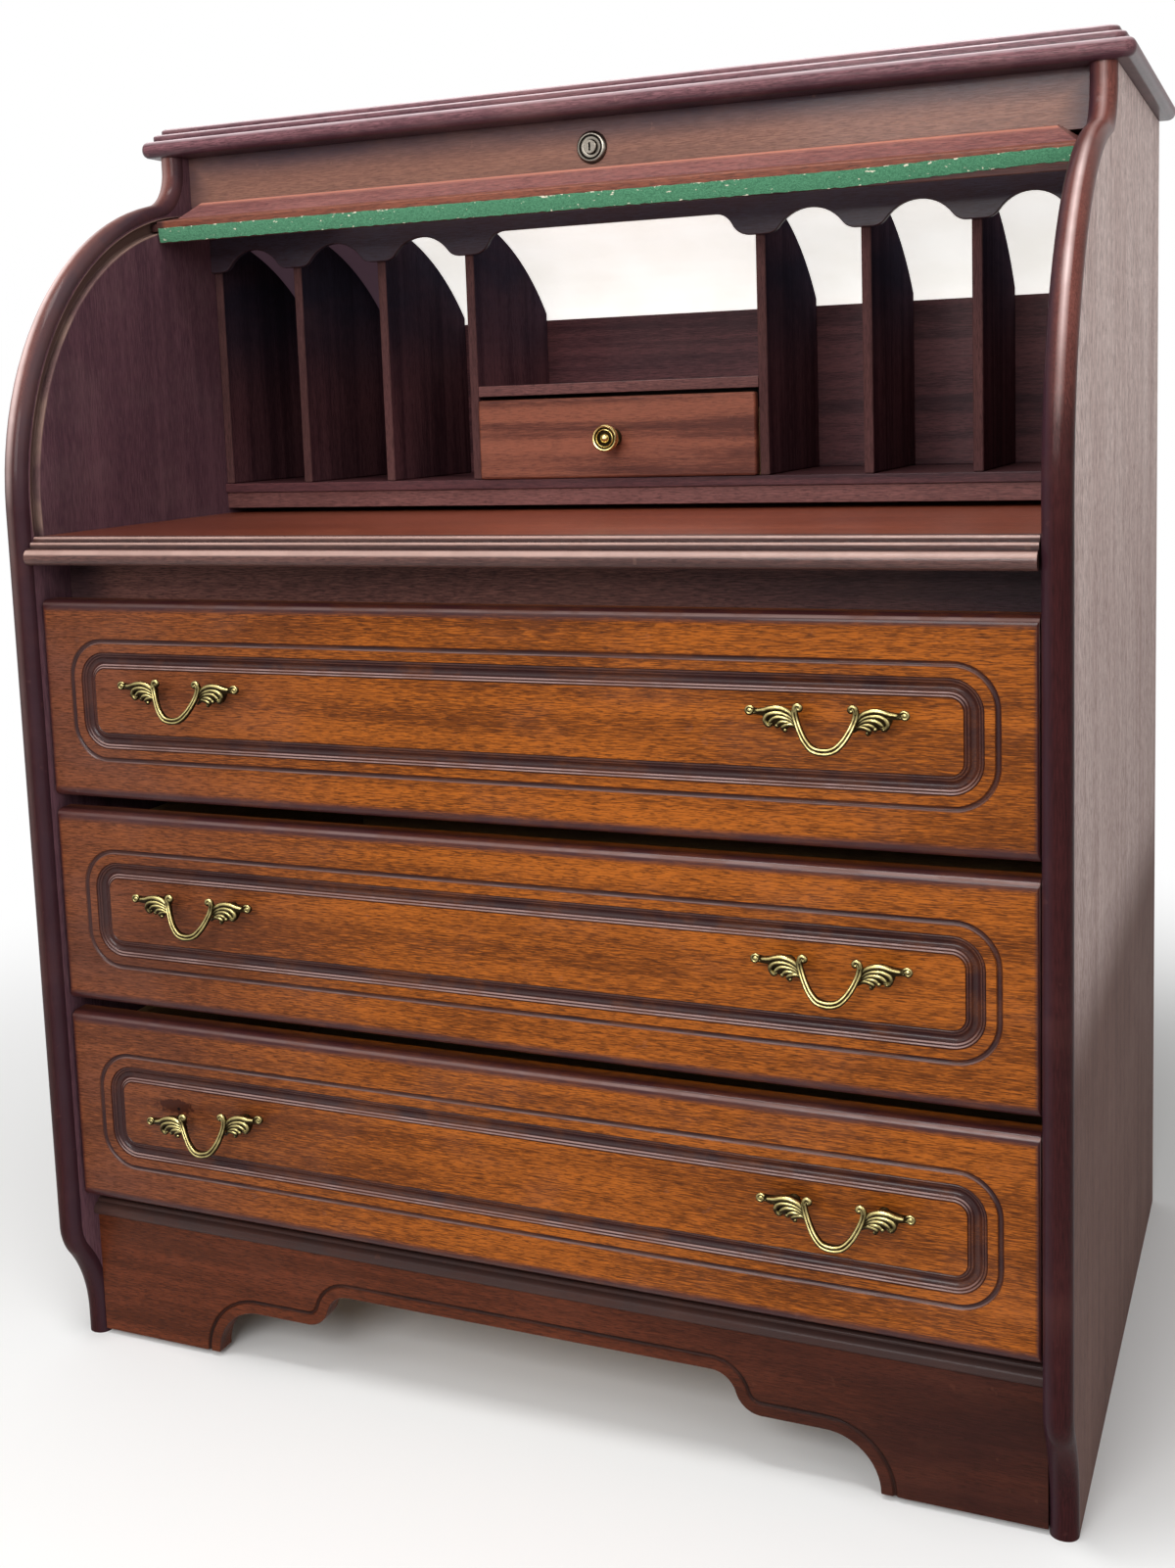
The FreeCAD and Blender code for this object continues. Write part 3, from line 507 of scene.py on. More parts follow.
def paint_facing_shade(mesh: Mesh) -> None:
    """Paint shade into a casting's recess mark where it faces down or backwards.

    Args:
        mesh: The casting with its mark of recess.
    """
    for vertex, mark in zip(mesh.vertices, mesh.attributes["recess"].data):
        facing = FACING_SHADE_EVEN - FACING_SHADE_BELOW * vertex.normal.z + FACING_SHADE_BEHIND * vertex.normal.y
        mark.value = min(max(mark.value, facing), 1.0)


# Finishes


def tint(colour: Colour) -> Quad:
    """Screen colour from 0 to 255 as the light values that shaders use."""
    parts = (c / 255 for c in colour)
    light = [c / 12.92 if c <= 0.04045 else ((c + 0.055) / 1.055) ** 2.4 for c in parts]
    return (*light, 1.0)


class Value:
    """An output of a node, on which sums are laid as further nodes."""

    def __init__(self, bench: "Bench", socket: Socket) -> None:
        """Hold an output and the bench that it lies on."""
        self.bench = bench
        self.socket = socket

    def work_out(self, action: str, other: Feed = 0.0) -> "Value":
        """One sum on this value, or on this and another."""
        return self.bench.maths(action, self, other)

    __add__ = partialmethod(work_out, "ADD")
    __sub__ = partialmethod(work_out, "SUBTRACT")
    __mul__ = partialmethod(work_out, "MULTIPLY")
    __truediv__ = partialmethod(work_out, "DIVIDE")
    __abs__ = partialmethod(work_out, "ABSOLUTE")
    most = partialmethod(work_out, "MAXIMUM")

    def __rsub__(self, other: float) -> "Value":
        """A number less this value."""
        return self.bench.maths("SUBTRACT", other, self)

    def span(self, low: float, high: float, to_low: float = 0.0, to_high: float = 1.0) -> "Value":
        """Carry a range of the value smoothly to another range."""
        node = self.bench.put("ShaderNodeMapRange", {"Value": self, "From Min": low, "From Max": high,
                                                     "To Min": to_low, "To Max": to_high},
                              interpolation_type="SMOOTHSTEP")
        return Value(self.bench, node.outputs["Result"])


class Bench:
    """Lays nodes into a tree and joins them."""

    def __init__(self, tree: bpy.types.NodeTree) -> None:
        """Work on one tree."""
        self.tree = tree

    def feed(self, socket: Socket, value: Feed) -> None:
        """Link an output to an input, or set the input to a plain value."""
        source = value.socket if isinstance(value, Value) else value
        if isinstance(source, Socket):
            self.tree.links.new(source, socket)
        else:
            socket.default_value = source

    def put(self, kind: str, inputs: Optional[dict] = None, **settings: object) -> Node:
        """Add a node.

        Args:
            kind: The node's type.
            inputs: Values or outputs for its inputs, by name or number.
            settings: Its own settings.

        Returns:
            The node.
        """
        node = self.tree.nodes.new(kind)
        for name, value in settings.items():
            setattr(node, name, value)
        for name, value in (inputs or {}).items():
            self.feed(node.inputs[name], value)
        return node

    def values(self, node: Node) -> Values:
        """The outputs of a node by name."""
        return {socket.name: Value(self, socket) for socket in node.outputs}

    def noise(self, vector: Feed, scale: float, detail: float = 2.0, rough: float = 0.5,
              twist: float = 0.0) -> Value:
        """Soft random values from about 0.2 to 0.8."""
        node = self.put("ShaderNodeTexNoise", {"Vector": vector, "Scale": scale, "Detail": detail,
                                               "Roughness": rough, "Distortion": twist})
        return Value(self, node.outputs["Fac"])

    def stretch(self, vector: Feed, scale: Solid, place: Solid = (0, 0, 0)) -> Value:
        """Coordinates moved and stretched."""
        node = self.put("ShaderNodeMapping", {"Vector": vector, "Scale": scale, "Location": place})
        return Value(self, node.outputs["Vector"])

    def maths(self, action: str, first: Feed, second: Feed = 0.0) -> Value:
        """One sum on one or two values."""
        return Value(self, self.put("ShaderNodeMath", {0: first, 1: second}, operation=action).outputs[0])

    def distance(self, first: Value, second: Value) -> Value:
        """Length of a way, from its two parts at right angles."""
        return self.maths("SQRT", first * first + second * second)

    def blend(self, first: Feed, second: Feed, share: Feed) -> Value:
        """Mix two colours.

        Args:
            first: The first colour.
            second: The second.
            share: The second's share.

        Returns:
            The mixed colour.
        """
        node = self.put("ShaderNodeMix", data_type="RGBA")
        sockets = {socket.identifier: socket for socket in (*node.inputs, *node.outputs)}
        for name, value in (("Factor_Float", share), ("A_Color", first), ("B_Color", second)):
            self.feed(sockets[name], value)
        return Value(self, sockets["Result_Color"])

    def mark(self, name: str) -> Value:
        """A mark that the mesh carries."""
        return Value(self, self.put("ShaderNodeAttribute", attribute_name=name).outputs["Fac"])

    def place(self) -> Value:
        """Place on the piece, in metres."""
        return Value(self, self.put("ShaderNodeTexCoord").outputs["Object"])

    def axes(self, vector: Optional[Feed] = None) -> Values:
        """The parts X, Y and Z of a vector, or of the place on the piece."""
        place = self.place() if vector is None else vector
        return self.values(self.put("ShaderNodeSeparateXYZ", {"Vector": place}))


def clear_bench(owner: Union[bpy.types.Material, bpy.types.World]) -> Bench:
    """An empty bench for the nodes of a material or of the surroundings."""
    owner.use_nodes = True
    owner.node_tree.nodes.clear()
    return Bench(owner.node_tree)


class Effect:
    """A node group that several finishes share."""

    def __init__(self, name: str, fill: Callable[[Bench, Values], Values], colours: Sequence[str],
                 amounts: Sequence[str], results: Sequence[str]) -> None:
        """Build the group once.

        Args:
            name: Name of the group.
            fill: Lays the nodes and gives the value for each output.
            colours: Names of its inputs of colour, after the place.
            amounts: Names of its inputs of plain numbers.
            results: Names of its outputs of plain numbers, after the colour.
        """
        self.tree = bpy.data.node_groups.new(name, "ShaderNodeTree")
        for way, kind, labels in (("INPUT", "Vector", ["Place"]), ("INPUT", "Color", colours),
                                  ("INPUT", "Float", amounts), ("OUTPUT", "Color", ["Color"]),
                                  ("OUTPUT", "Float", results)):
            for label in labels:
                self.tree.interface.new_socket(label, in_out=way, socket_type=f"NodeSocket{kind}")
        bench = Bench(self.tree)
        made = fill(bench, bench.values(bench.put("NodeGroupInput")))
        bench.put("NodeGroupOutput", made)

    def use(self, bench: Bench, inputs: dict[str, Feed]) -> Values:
        """Place the group in a material with its own values."""
        return bench.values(bench.put("ShaderNodeGroup", inputs, node_tree=self.tree))


def fill_wood(bench: Bench, given: Values) -> Values:
    """Fibre, ribbon and pores of a board whose grain runs along x.

    Args:
        bench: The group's bench.
        given: The group's inputs.

    Returns:
        Colour and height.
    """
    place, figure = given["Place"], given["Figure"]
    drift = bench.noise(bench.stretch(place, (1.6, 6, 6)), 3.0, 2.0)
    ribbon = bench.noise(bench.stretch(place, (2, 62, 62)), 1.0, 3.0, 0.55, 0.6)
    fibre = bench.noise(bench.stretch(place, (62, 1000, 1000)), 1.0, 3.0, 0.6, 0.3)
    banded = given["Ribbon"] * 0.35
    tone = drift * 0.2 + ribbon * (banded + 0.25) + fibre * (0.55 - banded)
    share = tone.span(0.40, 0.60) * figure + (1.0 - figure) * 0.5
    colour = bench.blend(given["Dark"], given["Light"], share)
    short = bench.noise(bench.stretch(place, (150, 1700, 1700)), 1.0, 1.0, 0.4)
    long = bench.noise(bench.stretch(place, (80, 1300, 1300), (3.1, 0.7, 1.9)), 1.0, 1.0, 0.4)
    pits = short.span(0.56, 0.66).most(long.span(0.60, 0.67))
    colour = bench.blend(colour, given["Pore"], pits * given["Pores"])
    return {"Color": colour, "Height": fibre * 0.3 - pits * 0.8}


def fill_wear_and_painted_light(bench: Bench, given: Values) -> Values:
    """Dark tones in hollows and on edges, patches of wear, small knocks and painted highlight lines; on
    several pieces the hollow and edge tones are painted shade and painted highlight.

    Args:
        bench: The group's bench.
        given: The group's inputs.

    Returns:
        Colour and a mask of the patches of wear and the painted highlights.
    """
    place = given["Place"]
    patch = bench.noise(place, 26.0, 3.0, 0.6).span(0.35, 0.65)
    # Hollows take a dark tone: dirt, and painted shade on the lippings and under the top's roll.
    colour = bench.blend(given["Color"], given["Stain"], given["Recess"] * patch.span(0, 1, 0.8, 1))
    # Edges take a tone of their own: wear on some pieces, painted highlight on the lippings, the top and the
    # writing edge, painted shade on the drawer fronts.
    colour = bench.blend(colour, given["Edge Tone"], given["Edge"] * patch.span(0, 1, 0.85, 1))
    rubbed = bench.noise(bench.stretch(place, (8, 8, 14)), 1.0, 4.0, 0.6).span(0.48, 0.75)
    knocks = bench.noise(place, 95.0, 2.0, 0.5).span(0.70, 0.76)
    mask = rubbed.most(knocks) * given["Wear"]
    # This mask input paints highlight lines on the drawer fronts.
    mask = mask.most(given["Worn"] * patch.span(0, 1, 0.6, 1))
    return {"Color": bench.blend(colour, given["Rubbed"], mask), "Mask": mask}


def fill_patina_and_shade(bench: Bench, given: Values) -> Values:
    """Bright metal, polished by handling, that darkens with its recess mark: patina in its hollows, and
    painted shade where the mark carries it.

    Args:
        bench: The group's bench.
        given: The group's inputs.

    Returns:
        Colour, roughness and height.
    """
    cloud = bench.noise(given["Place"], 160.0, 3.0, 0.6)
    # The recess mark holds patina and, on the pulls, painted shade.
    grime_and_shade = (given["Recess"] + cloud.span(0.3, 0.7, -0.12, 0.14)).span(0.05, 0.8)
    colour = bench.blend(given["Bright"], given["Dark"], grime_and_shade)
    specks = bench.noise(given["Place"], 1400.0, 2.0, 0.5)
    colour = bench.blend(colour, given["Dark"], specks.span(0.64, 0.74, 0, 0.3))
    rough = grime_and_shade.span(0, 1, 0.24, 0.5) + cloud.span(0.3, 0.7, -0.04, 0.06)
    return {"Color": colour, "Roughness": rough, "Height": specks + cloud}


WOOD = Effect("wood_figure", fill_wood, ("Light", "Dark", "Pore"), ("Figure", "Pores", "Ribbon"), ("Height",))
WEAR_AND_PAINTED_LIGHT = Effect(
    "wear_and_stain", fill_wear_and_painted_light, ("Color", "Stain", "Edge Tone", "Rubbed"),
    ("Recess", "Edge", "Worn", "Wear"), ("Mask",))
PATINA_AND_SHADE = Effect("metal_patina", fill_patina_and_shade, ("Bright", "Dark"), ("Recess",), ("Roughness", "Height"))


@dataclass(frozen=True)
class Finish:
    """What all finishes share: a name and the record's slot."""

    name: str
    slot: str

    @cached_property
    def material(self) -> bpy.types.Material:
        """The material, built when it is first asked for."""
        made = bpy.data.materials.new(self.name)
        bench = clear_bench(made)
        shader = bench.put("ShaderNodeBsdfPrincipled")
        self.lay(bench, shader)
        bench.put("ShaderNodeOutputMaterial", {"Surface": shader.outputs["BSDF"]})
        return made

    def lay(self, bench: Bench, shader: Node) -> None:
        """Lay the nodes that feed the shader."""
        raise NotImplementedError

    def connect(self, bench: Bench, shader: Node, feeds: dict[str, Feed], height: Value,
                strength: float, depth: float) -> None:
        """Feed the shader and its surface relief.

        Args:
            bench: The material's bench.
            shader: The shader.
            feeds: Values or outputs by the shader's input.
            height: Height of the relief.
            strength: How much the relief shows.
            depth: Depth of the relief in metres.
        """
        bump = bench.put("ShaderNodeBump", {"Height": height, "Strength": strength, "Distance": depth})
        for name, value in {**feeds, "Normal": bump.outputs["Normal"]}.items():
            bench.feed(shader.inputs[name], value)


@dataclass(frozen=True)
class WoodFinish(Finish):
    """Polished wood with its figure, pores, dark tones and wear, which on several pieces carry painted light
    and shade.
    """

    light: Colour
    dark: Colour
    pore: Colour
    # The tone of patches of wear, which on the drawer fronts is also the painted highlight; then the hollow
    # tone, dirt and on several pieces painted shade; then the edge tone, wear on some pieces and painted
    # light on others.
    rubbed: Colour
    stain: Colour = (46, 27, 22)
    edge_tone: Colour = (70, 36, 28)
    grain: Grain = Grain.ACROSS
    figure: float = 0.8
    pores: float = 0.6
    ribbon: float = 0.0
    wear: float = 0.15
    gloss: float = 0.4
    rubbed_gloss: float = 0.2
    coat: float = 0.08
    hollow_coat: float = 0.08
    coat_gloss: float = 0.12
    shine: float = 0.2
    relief: float = 0.25
    relief_depth: float = 0.0004

    def along(self, bench: Bench) -> Value:
        """Place on the piece with the grain turned to x."""
        if self.grain is Grain.ACROSS:
            return bench.place()
        parts = bench.axes()
        turned = bench.put("ShaderNodeCombineXYZ", dict(enumerate(parts[axis] for axis in self.grain.value)))
        return Value(bench, turned.outputs["Vector"])

    def tones(self, bench: Bench) -> tuple[Feed, Feed]:
        """Light and dark tones, which may change over the piece."""
        return tint(self.light), tint(self.dark)

    def pore_depth(self, bench: Bench) -> Feed:
        """How dark the pores are, which may change over the piece."""
        return self.pores

    def touch_up(self, bench: Bench, colour: Value) -> Value:
        """Marks of one piece's own past, added last."""
        return colour

    def lay(self, bench: Bench, shader: Node) -> None:
        """Figure, then dark tones, wear and painted light, under a polished coat."""
        light, dark = self.tones(bench)
        wood = WOOD.use(bench, {
            "Place": self.along(bench), "Light": light, "Dark": dark, "Pore": tint(self.pore),
            "Figure": self.figure, "Pores": self.pore_depth(bench), "Ribbon": self.ribbon})
        worn = WEAR_AND_PAINTED_LIGHT.use(bench, {
            "Place": bench.place(), "Color": wood["Color"], "Stain": tint(self.stain),
            "Edge Tone": tint(self.edge_tone), "Rubbed": tint(self.rubbed), "Recess": bench.mark("recess"),
            "Edge": bench.mark("edge"), "Worn": bench.mark("worn"), "Wear": self.wear})
        colour = self.touch_up(bench, worn["Color"])
        rough = worn["Mask"].span(0, 0.6, self.gloss, self.gloss + self.rubbed_gloss)
        coat = self.coat
        if self.hollow_coat != self.coat:
            moulded = bench.mark("recess").most(bench.mark("edge"))
            coat = moulded.span(0.2, 0.8, self.coat, self.hollow_coat)
        self.connect(bench, shader, {"Base Color": colour, "Roughness": rough, "Coat Weight": coat,
                                     "Coat Roughness": self.coat_gloss, "Specular IOR Level": self.shine},
                     wood["Height"], self.relief, self.relief_depth)


@dataclass(frozen=True)
class PaintedShadingFinish(WoodFinish):
    """A board with painted light and shade towards some edges or ends: a span has an axis, its start and
    where it is full.
    """

    # The shade tone is painted shade on most boards and a painted sheen on the lippings; the gloom is painted
    # shade along its own spans.
    shade: Colour = (70, 54, 64)
    spans: tuple[Span, ...] = ()
    gloom: Colour = (46, 42, 54)
    gloom_spans: tuple[Span, ...] = ()
    deep_share: float = 0.8

    def tones(self, bench: Bench) -> tuple[Feed, Feed]:
        """Tones that change along each span, unevenly, towards the painted shade and gloom tones."""
        parts = bench.axes()
        uneven = bench.noise(bench.stretch(bench.place(), (5, 5, 22)), 1.0, 3.0).span(0.3, 0.7, 0.75, 1.0)
        light, dark = tint(self.light), tint(self.dark)
        for tone, spans in ((self.gloom, self.gloom_spans), (self.shade, self.spans)):
            if spans:
                near = [parts[axis].span(start, full) for axis, start, full in spans]
                share = reduce(Value.most, near) * uneven
                deep = tuple(int(self.deep_share * c) for c in tone)
                light, dark = bench.blend(light, tint(tone), share), bench.blend(dark, tint(deep), share)
        return light, dark


@dataclass(frozen=True)
class ScarredFinish(PaintedShadingFinish):
    """A drawer front with the bare print of a shifted pull and its screw hole."""

    print_at: Point = (-0.3225, 0.245)
    print_half: Point = (0.022, 0.007)
    print_tone: Colour = (62, 30, 20)
    hole_at: Point = (-0.319, 0.243)
    hole_half: Point = (0.0017, 0.0017)
    hole_tone: Colour = (16, 10, 8)

    def touch_up(self, bench: Bench, colour: Value) -> Value:
        """The dark print and the hole."""
        ragged = bench.noise(bench.place(), 220.0, 3.0, 0.6).span(0.3, 0.7, -0.25, 0.25)
        edge = self.reach(bench, self.print_at, self.print_half) + ragged
        colour = bench.blend(tint(self.print_tone), colour, edge.span(0.7, 1.0))
        hole = self.reach(bench, self.hole_at, self.hole_half)
        return bench.blend(tint(self.hole_tone), colour, hole.span(0.8, 1.0))

    def reach(self, bench: Bench, middle: Point, half: Point) -> Value:
        """How far a place lies from the middle of an oval, 1 on its rim."""
        parts = bench.axes()
        return bench.distance((parts["X"] - middle[0]) / half[0], (parts["Z"] - middle[1]) / half[1])


@dataclass(frozen=True)
class SideFinish(WoodFinish):
    """A side panel: veneer outside, paled upwards on the right by a painted reflection, dark polished wood
    and a bare track inside.
    """

    low_light: Colour = (108, 82, 74)
    low_dark: Colour = (80, 57, 51)
    inner_light: Colour = (106, 72, 81)
    inner_dark: Colour = (76, 50, 60)
    inner_pores: float = 0.2
    veneer: Point = (0.4495, 0.4505)
    # Painted reflection on the outer face: two rises by height, and the span of x that takes it, so only the
    # right side.
    reflection_rises: tuple[Solid, Solid] = ((0.345, 0.455, 0.55), (0.4, 1.05, 0.45))
    reflection_side: Point = (-0.1, 0.1)
    track_tone: Colour = (96, 72, 66)
    track_middle: float = (TRACK_RADIUS - 5.75) * MM
    track_half: Point = (0.0050, 0.0057)
    track_foot: Point = (-0.03, -0.01)
    line_tone: Colour = (150, 122, 110)
    line_off: float = 0.0062
    line_half: Point = (0.0004, 0.0013)

    def outside(self, bench: Bench) -> Value:
        """1 on the outer face of the panel, 0 within the panel and on its inner face."""
        return abs(bench.axes()["X"]).span(*self.veneer)

    def tones(self, bench: Bench) -> tuple[Feed, Feed]:
        """Tones that pale upwards on the right with a painted reflection, dark red ones inside."""
        outside, parts = self.outside(bench), bench.axes()
        first, second = (parts["Z"].span(start, full, 0, share) for start, full, share in self.reflection_rises)
        reflection = (first + second) * parts["X"].span(*self.reflection_side)
        return tuple(bench.blend(tint(inner), bench.blend(tint(low), tint(high), reflection), outside)
                     for inner, low, high in ((self.inner_light, self.low_light, self.light),
                                              (self.inner_dark, self.low_dark, self.dark)))

    def pore_depth(self, bench: Bench) -> Feed:
        """Open pores outside, filled ones inside."""
        return self.outside(bench).span(0, 1, self.inner_pores, self.pores)

    def touch_up(self, bench: Bench, colour: Value) -> Value:
        """The bare track and the pale lines of wear along both its edges."""
        parts = bench.axes()
        deep, high = parts["Y"] - TRACK_DEEP * MM, parts["Z"] - TRACK_HEIGHT * MM
        used = (1.0 - self.outside(bench)) * high.span(*self.track_foot)
        middle = abs(bench.distance(deep, high) - self.track_middle)
        bare = middle.span(*self.track_half, 1, 0) * used
        colour = bench.blend(colour, tint(self.track_tone), bare)
        patch = bench.noise(bench.place(), 18.0, 3.0).span(0.3, 0.55, 0.2, 0.8)
        line = abs(middle - self.line_off).span(*self.line_half, 1, 0)
        return bench.blend(colour, tint(self.line_tone), line * patch * used)


@dataclass(frozen=True)
class MetalFinish(Finish):
    """Cast or turned metal, darker in its hollows and towards the wood behind it: bright at the y of near,
    dark at that of far.
    """

    near: float
    far: float
    bright: Colour = (192, 176, 118)
    dark: Colour = (40, 30, 16)
    far_dark: float = 0.85
    relief: float = 0.05
    relief_depth: float = 0.0002

    def lay(self, bench: Bench, shader: Node) -> None:
        """Bright where it stands proud, dark near the wood behind it."""
        # Darker towards the wood behind, and with the recess mark, which on the pulls holds painted shade.
        recess = bench.axes()["Y"].span(self.near, self.far, 0.0, self.far_dark).most(bench.mark("recess"))
        metal = PATINA_AND_SHADE.use(bench, {
            "Place": bench.place(), "Bright": tint(self.bright), "Dark": tint(self.dark), "Recess": recess})
        looks = {"Base Color": metal["Color"], "Metallic": 1.0, "Roughness": metal["Roughness"]}
        self.connect(bench, shader, looks, metal["Height"], self.relief, self.relief_depth)


@dataclass(frozen=True)
class FeltFinish(Finish):
    """Pressed wool, matted and flecked with pale fluff."""

    light: Colour = (80, 138, 104)
    dark: Colour = (46, 98, 70)
    fluff: Colour = (214, 208, 186)

    def lay(self, bench: Bench, shader: Node) -> None:
        """Matted fibres with pale specks and a soft sheen."""
        place = bench.place()
        mat = bench.noise(bench.stretch(place, (500, 900, 900)), 1.0, 4.0, 0.7, 1.2)
        colour = bench.blend(tint(self.dark), tint(self.light), mat.span(0.32, 0.66))
        specks = bench.noise(bench.stretch(place, (150, 330, 330)), 1.0, 2.0, 0.55)
        frayed = specks + bench.mark("edge") * 0.07
        colour = bench.blend(colour, tint(self.fluff), frayed.span(0.68, 0.74))
        self.connect(bench, shader, {"Base Color": colour, "Roughness": 0.95, "Sheen Weight": 0.35,
                                     "Sheen Roughness": 0.5, "Specular IOR Level": 0.2}, mat, 0.6, 0.0006)


@dataclass(frozen=True)
class CanvasFinish(Finish):
    """Plain woven canvas, read along its length and width, darker towards its left end, and lit from within
    by painted emission.
    """

    light: Colour = (254, 253, 250)
    dark: Colour = (242, 239, 232)
    left_dark: Colour = (62, 46, 54)
    left_dark_from: float = -0.268
    left_dark_run: float = 0.03
    thread: float = 0.0014
    # Strength of the painted emission.
    painted_glow: float = 0.8

    def lay(self, bench: Bench, shader: Node) -> None:
        """Threads over and under, with a few stains."""
        parts = bench.axes(bench.put("ShaderNodeUVMap", uv_map="cloth").outputs["UV"])
        warp, weft = (bench.maths("SINE", parts[axis] * (math.tau / self.thread)) for axis in "XY")
        weave = (warp * weft).span(-1.0, 1.0)
        blotch = bench.noise(bench.place(), 16.0, 4.0, 0.6)
        tone = weave * 0.35 + blotch.span(0.3, 0.7, 0.1, 0.65)
        colour = bench.blend(tint(self.dark), tint(self.light), tone)
        away_from_left = parts["X"].span(self.left_dark_from - self.left_dark_run, self.left_dark_from)
        colour = bench.blend(tint(self.left_dark), colour, away_from_left)
        # The canvas gives off light in its own colour: painted light, not a lamp.
        self.connect(bench, shader, {"Base Color": colour, "Roughness": 0.92, "Specular IOR Level": 0.15,
                                     "Emission Color": colour, "Emission Strength": self.painted_glow},
                     weave, 0.4, 0.0003)


# Drawer fronts: painted shade towards the left end and on the rounded edges; the tone of patches of wear is
# also the painted highlight on upward flanks and top edges.
DRAWER_WOOD = dict(
    slot="mahogany", light=(164, 89, 27), dark=(88, 43, 13), pore=(50, 23, 9), stain=(50, 27, 27),
    edge_tone=(58, 28, 29), rubbed=(144, 116, 110), wear=0.05, figure=0.95, pores=0.6, shine=0.08, coat=0.03,
    hollow_coat=0.25, shade=(106, 61, 46), spans=(("X", -0.05, -0.46),))
DRAWER_FRONT = PaintedShadingFinish("mahogany_drawer_front", **DRAWER_WOOD)
SCARRED_FRONT = ScarredFinish("mahogany_lowest_front", **DRAWER_WOOD)
# Apron: painted shade towards the right end and at the far left.
DARK_RAIL = PaintedShadingFinish(
    "dark_mahogany_rail", "dark_mahogany", light=(126, 84, 76), dark=(74, 47, 43), pore=(40, 25, 24),
    rubbed=(130, 94, 82), figure=0.8, shine=0.1, coat=0.0, shade=(52, 38, 44),
    spans=(("X", 0.0, 0.4), ("X", -0.37, -0.42)))
# Writing edge: the edge tone is a painted highlight on the upper corners of its steps.
EDGE_WOOD = WoodFinish(
    "writing_edge_polish", "dark_mahogany", light=(98, 66, 60), dark=(64, 41, 38), pore=(46, 28, 27),
    stain=(42, 26, 26), edge_tone=(174, 142, 132), rubbed=(140, 104, 90), gloss=0.3, coat=0.15)
# Lippings: the edge tone is a painted highlight along the nose, the tone along the z span a painted sheen on
# the upper arcs, and the hollow tone a painted shadow on the inner side.
DARK_UPRIGHT = PaintedShadingFinish(
    "dark_mahogany_lipping", "dark_mahogany", light=(58, 25, 26), dark=(40, 17, 18), pore=(28, 13, 14),
    stain=(52, 31, 38), edge_tone=(210, 184, 180), rubbed=(104, 64, 58), grain=Grain.UPRIGHT, gloss=0.3,
    shine=0.03, coat=0.05, hollow_coat=0.12, pores=0.3, shade=(122, 72, 64), spans=(("Z", 0.79, 0.92),))
# Plinth: painted shade towards the right end.
PLINTH_WOOD = PaintedShadingFinish(
    "mahogany_plinth", "dark_mahogany", light=(106, 53, 32), dark=(68, 33, 19), pore=(40, 21, 15),
    stain=(34, 18, 15), edge_tone=(60, 44, 42), rubbed=(114, 68, 50), shine=0.06, coat=0.03, ribbon=0.4,
    shade=(54, 27, 23), spans=(("X", -0.15, 0.45),))
# Top: the edge tone is a painted highlight on the upper roundings, the hollow tone painted shade under the
# roll, and the purple in the light and dark tones a painted sheen.
TOP_WOOD = WoodFinish(
    "mahogany_top", "dark_mahogany", light=(126, 84, 90), dark=(86, 55, 61), pore=(52, 32, 37),
    stain=(56, 31, 40), edge_tone=(208, 188, 192), rubbed=(146, 108, 104), wear=0.2, gloss=0.42, shine=0.1,
    coat=0.06, hollow_coat=0.3)
# Fascia: painted shade under the top's overhang and at both ends.
FASCIA_WOOD = PaintedShadingFinish(
    "shaded_fascia", "mahogany", light=(154, 108, 90), dark=(112, 76, 66), pore=(84, 55, 48),
    rubbed=(168, 124, 104), pores=0.4, figure=0.6,
    spans=(("Z", 1.076, 1.103), ("X", 0.403, 0.433), ("X", -0.403, -0.433)))
# Side veneer: the near-white light and dark tones are a painted reflection on the upper right; the low tones
# are the veneer's own.
SIDE_VENEER = SideFinish(
    "side_veneer", "side_veneer", light=(244, 224, 218), dark=(204, 178, 172), pore=(104, 78, 74),
    rubbed=(192, 166, 158), grain=Grain.UPRIGHT, pores=0.75, figure=1.0, gloss=0.7, shine=0.1, coat=0.0,
    wear=0.04)
# Writing board: painted shade towards the left end.
WRITING_WOOD = PaintedShadingFinish(
    "writing_board_polish", "mahogany", light=(154, 79, 54), dark=(104, 48, 32), pore=(74, 34, 26),
    rubbed=(172, 104, 78), gloss=0.3, coat=0.12, wear=0.12, shade=(104, 50, 34), spans=(("X", 0.0, -0.42),))
INNER_WOOD = WoodFinish(
    "dark_inner_boards", "dark_mahogany", light=(96, 58, 60), dark=(50, 29, 34), pore=(34, 21, 25),
    rubbed=(104, 76, 76), pores=0.4, shine=0.1, ribbon=0.7)
# Partitions: painted light on their front edges, painted shade (the gloom) towards the top.
INNER_UPRIGHT = PaintedShadingFinish(
    "dark_partitions", "dark_mahogany", light=(100, 64, 68), dark=(58, 36, 42), pore=(28, 18, 22),
    rubbed=(96, 68, 70), grain=Grain.UPRIGHT, shine=0.0, pores=0.4, gloss=0.75, coat=0.0, hollow_coat=0.0,
    ribbon=0.5, shade=(94, 64, 62), spans=(("Y", 0.006, 0.0045),), gloom_spans=(("Z", 0.85, 0.96),))
RISER_WOOD = WoodFinish(
    "riser_board", "dark_mahogany", light=(126, 82, 78), dark=(92, 58, 56), pore=(60, 38, 38),
    rubbed=(150, 104, 98), shine=0.1)
VALANCE_WOOD = WoodFinish(
    "dark_valance", "dark_mahogany", light=(56, 66, 86), dark=(38, 45, 60), pore=(26, 30, 38),
    rubbed=(78, 78, 88))
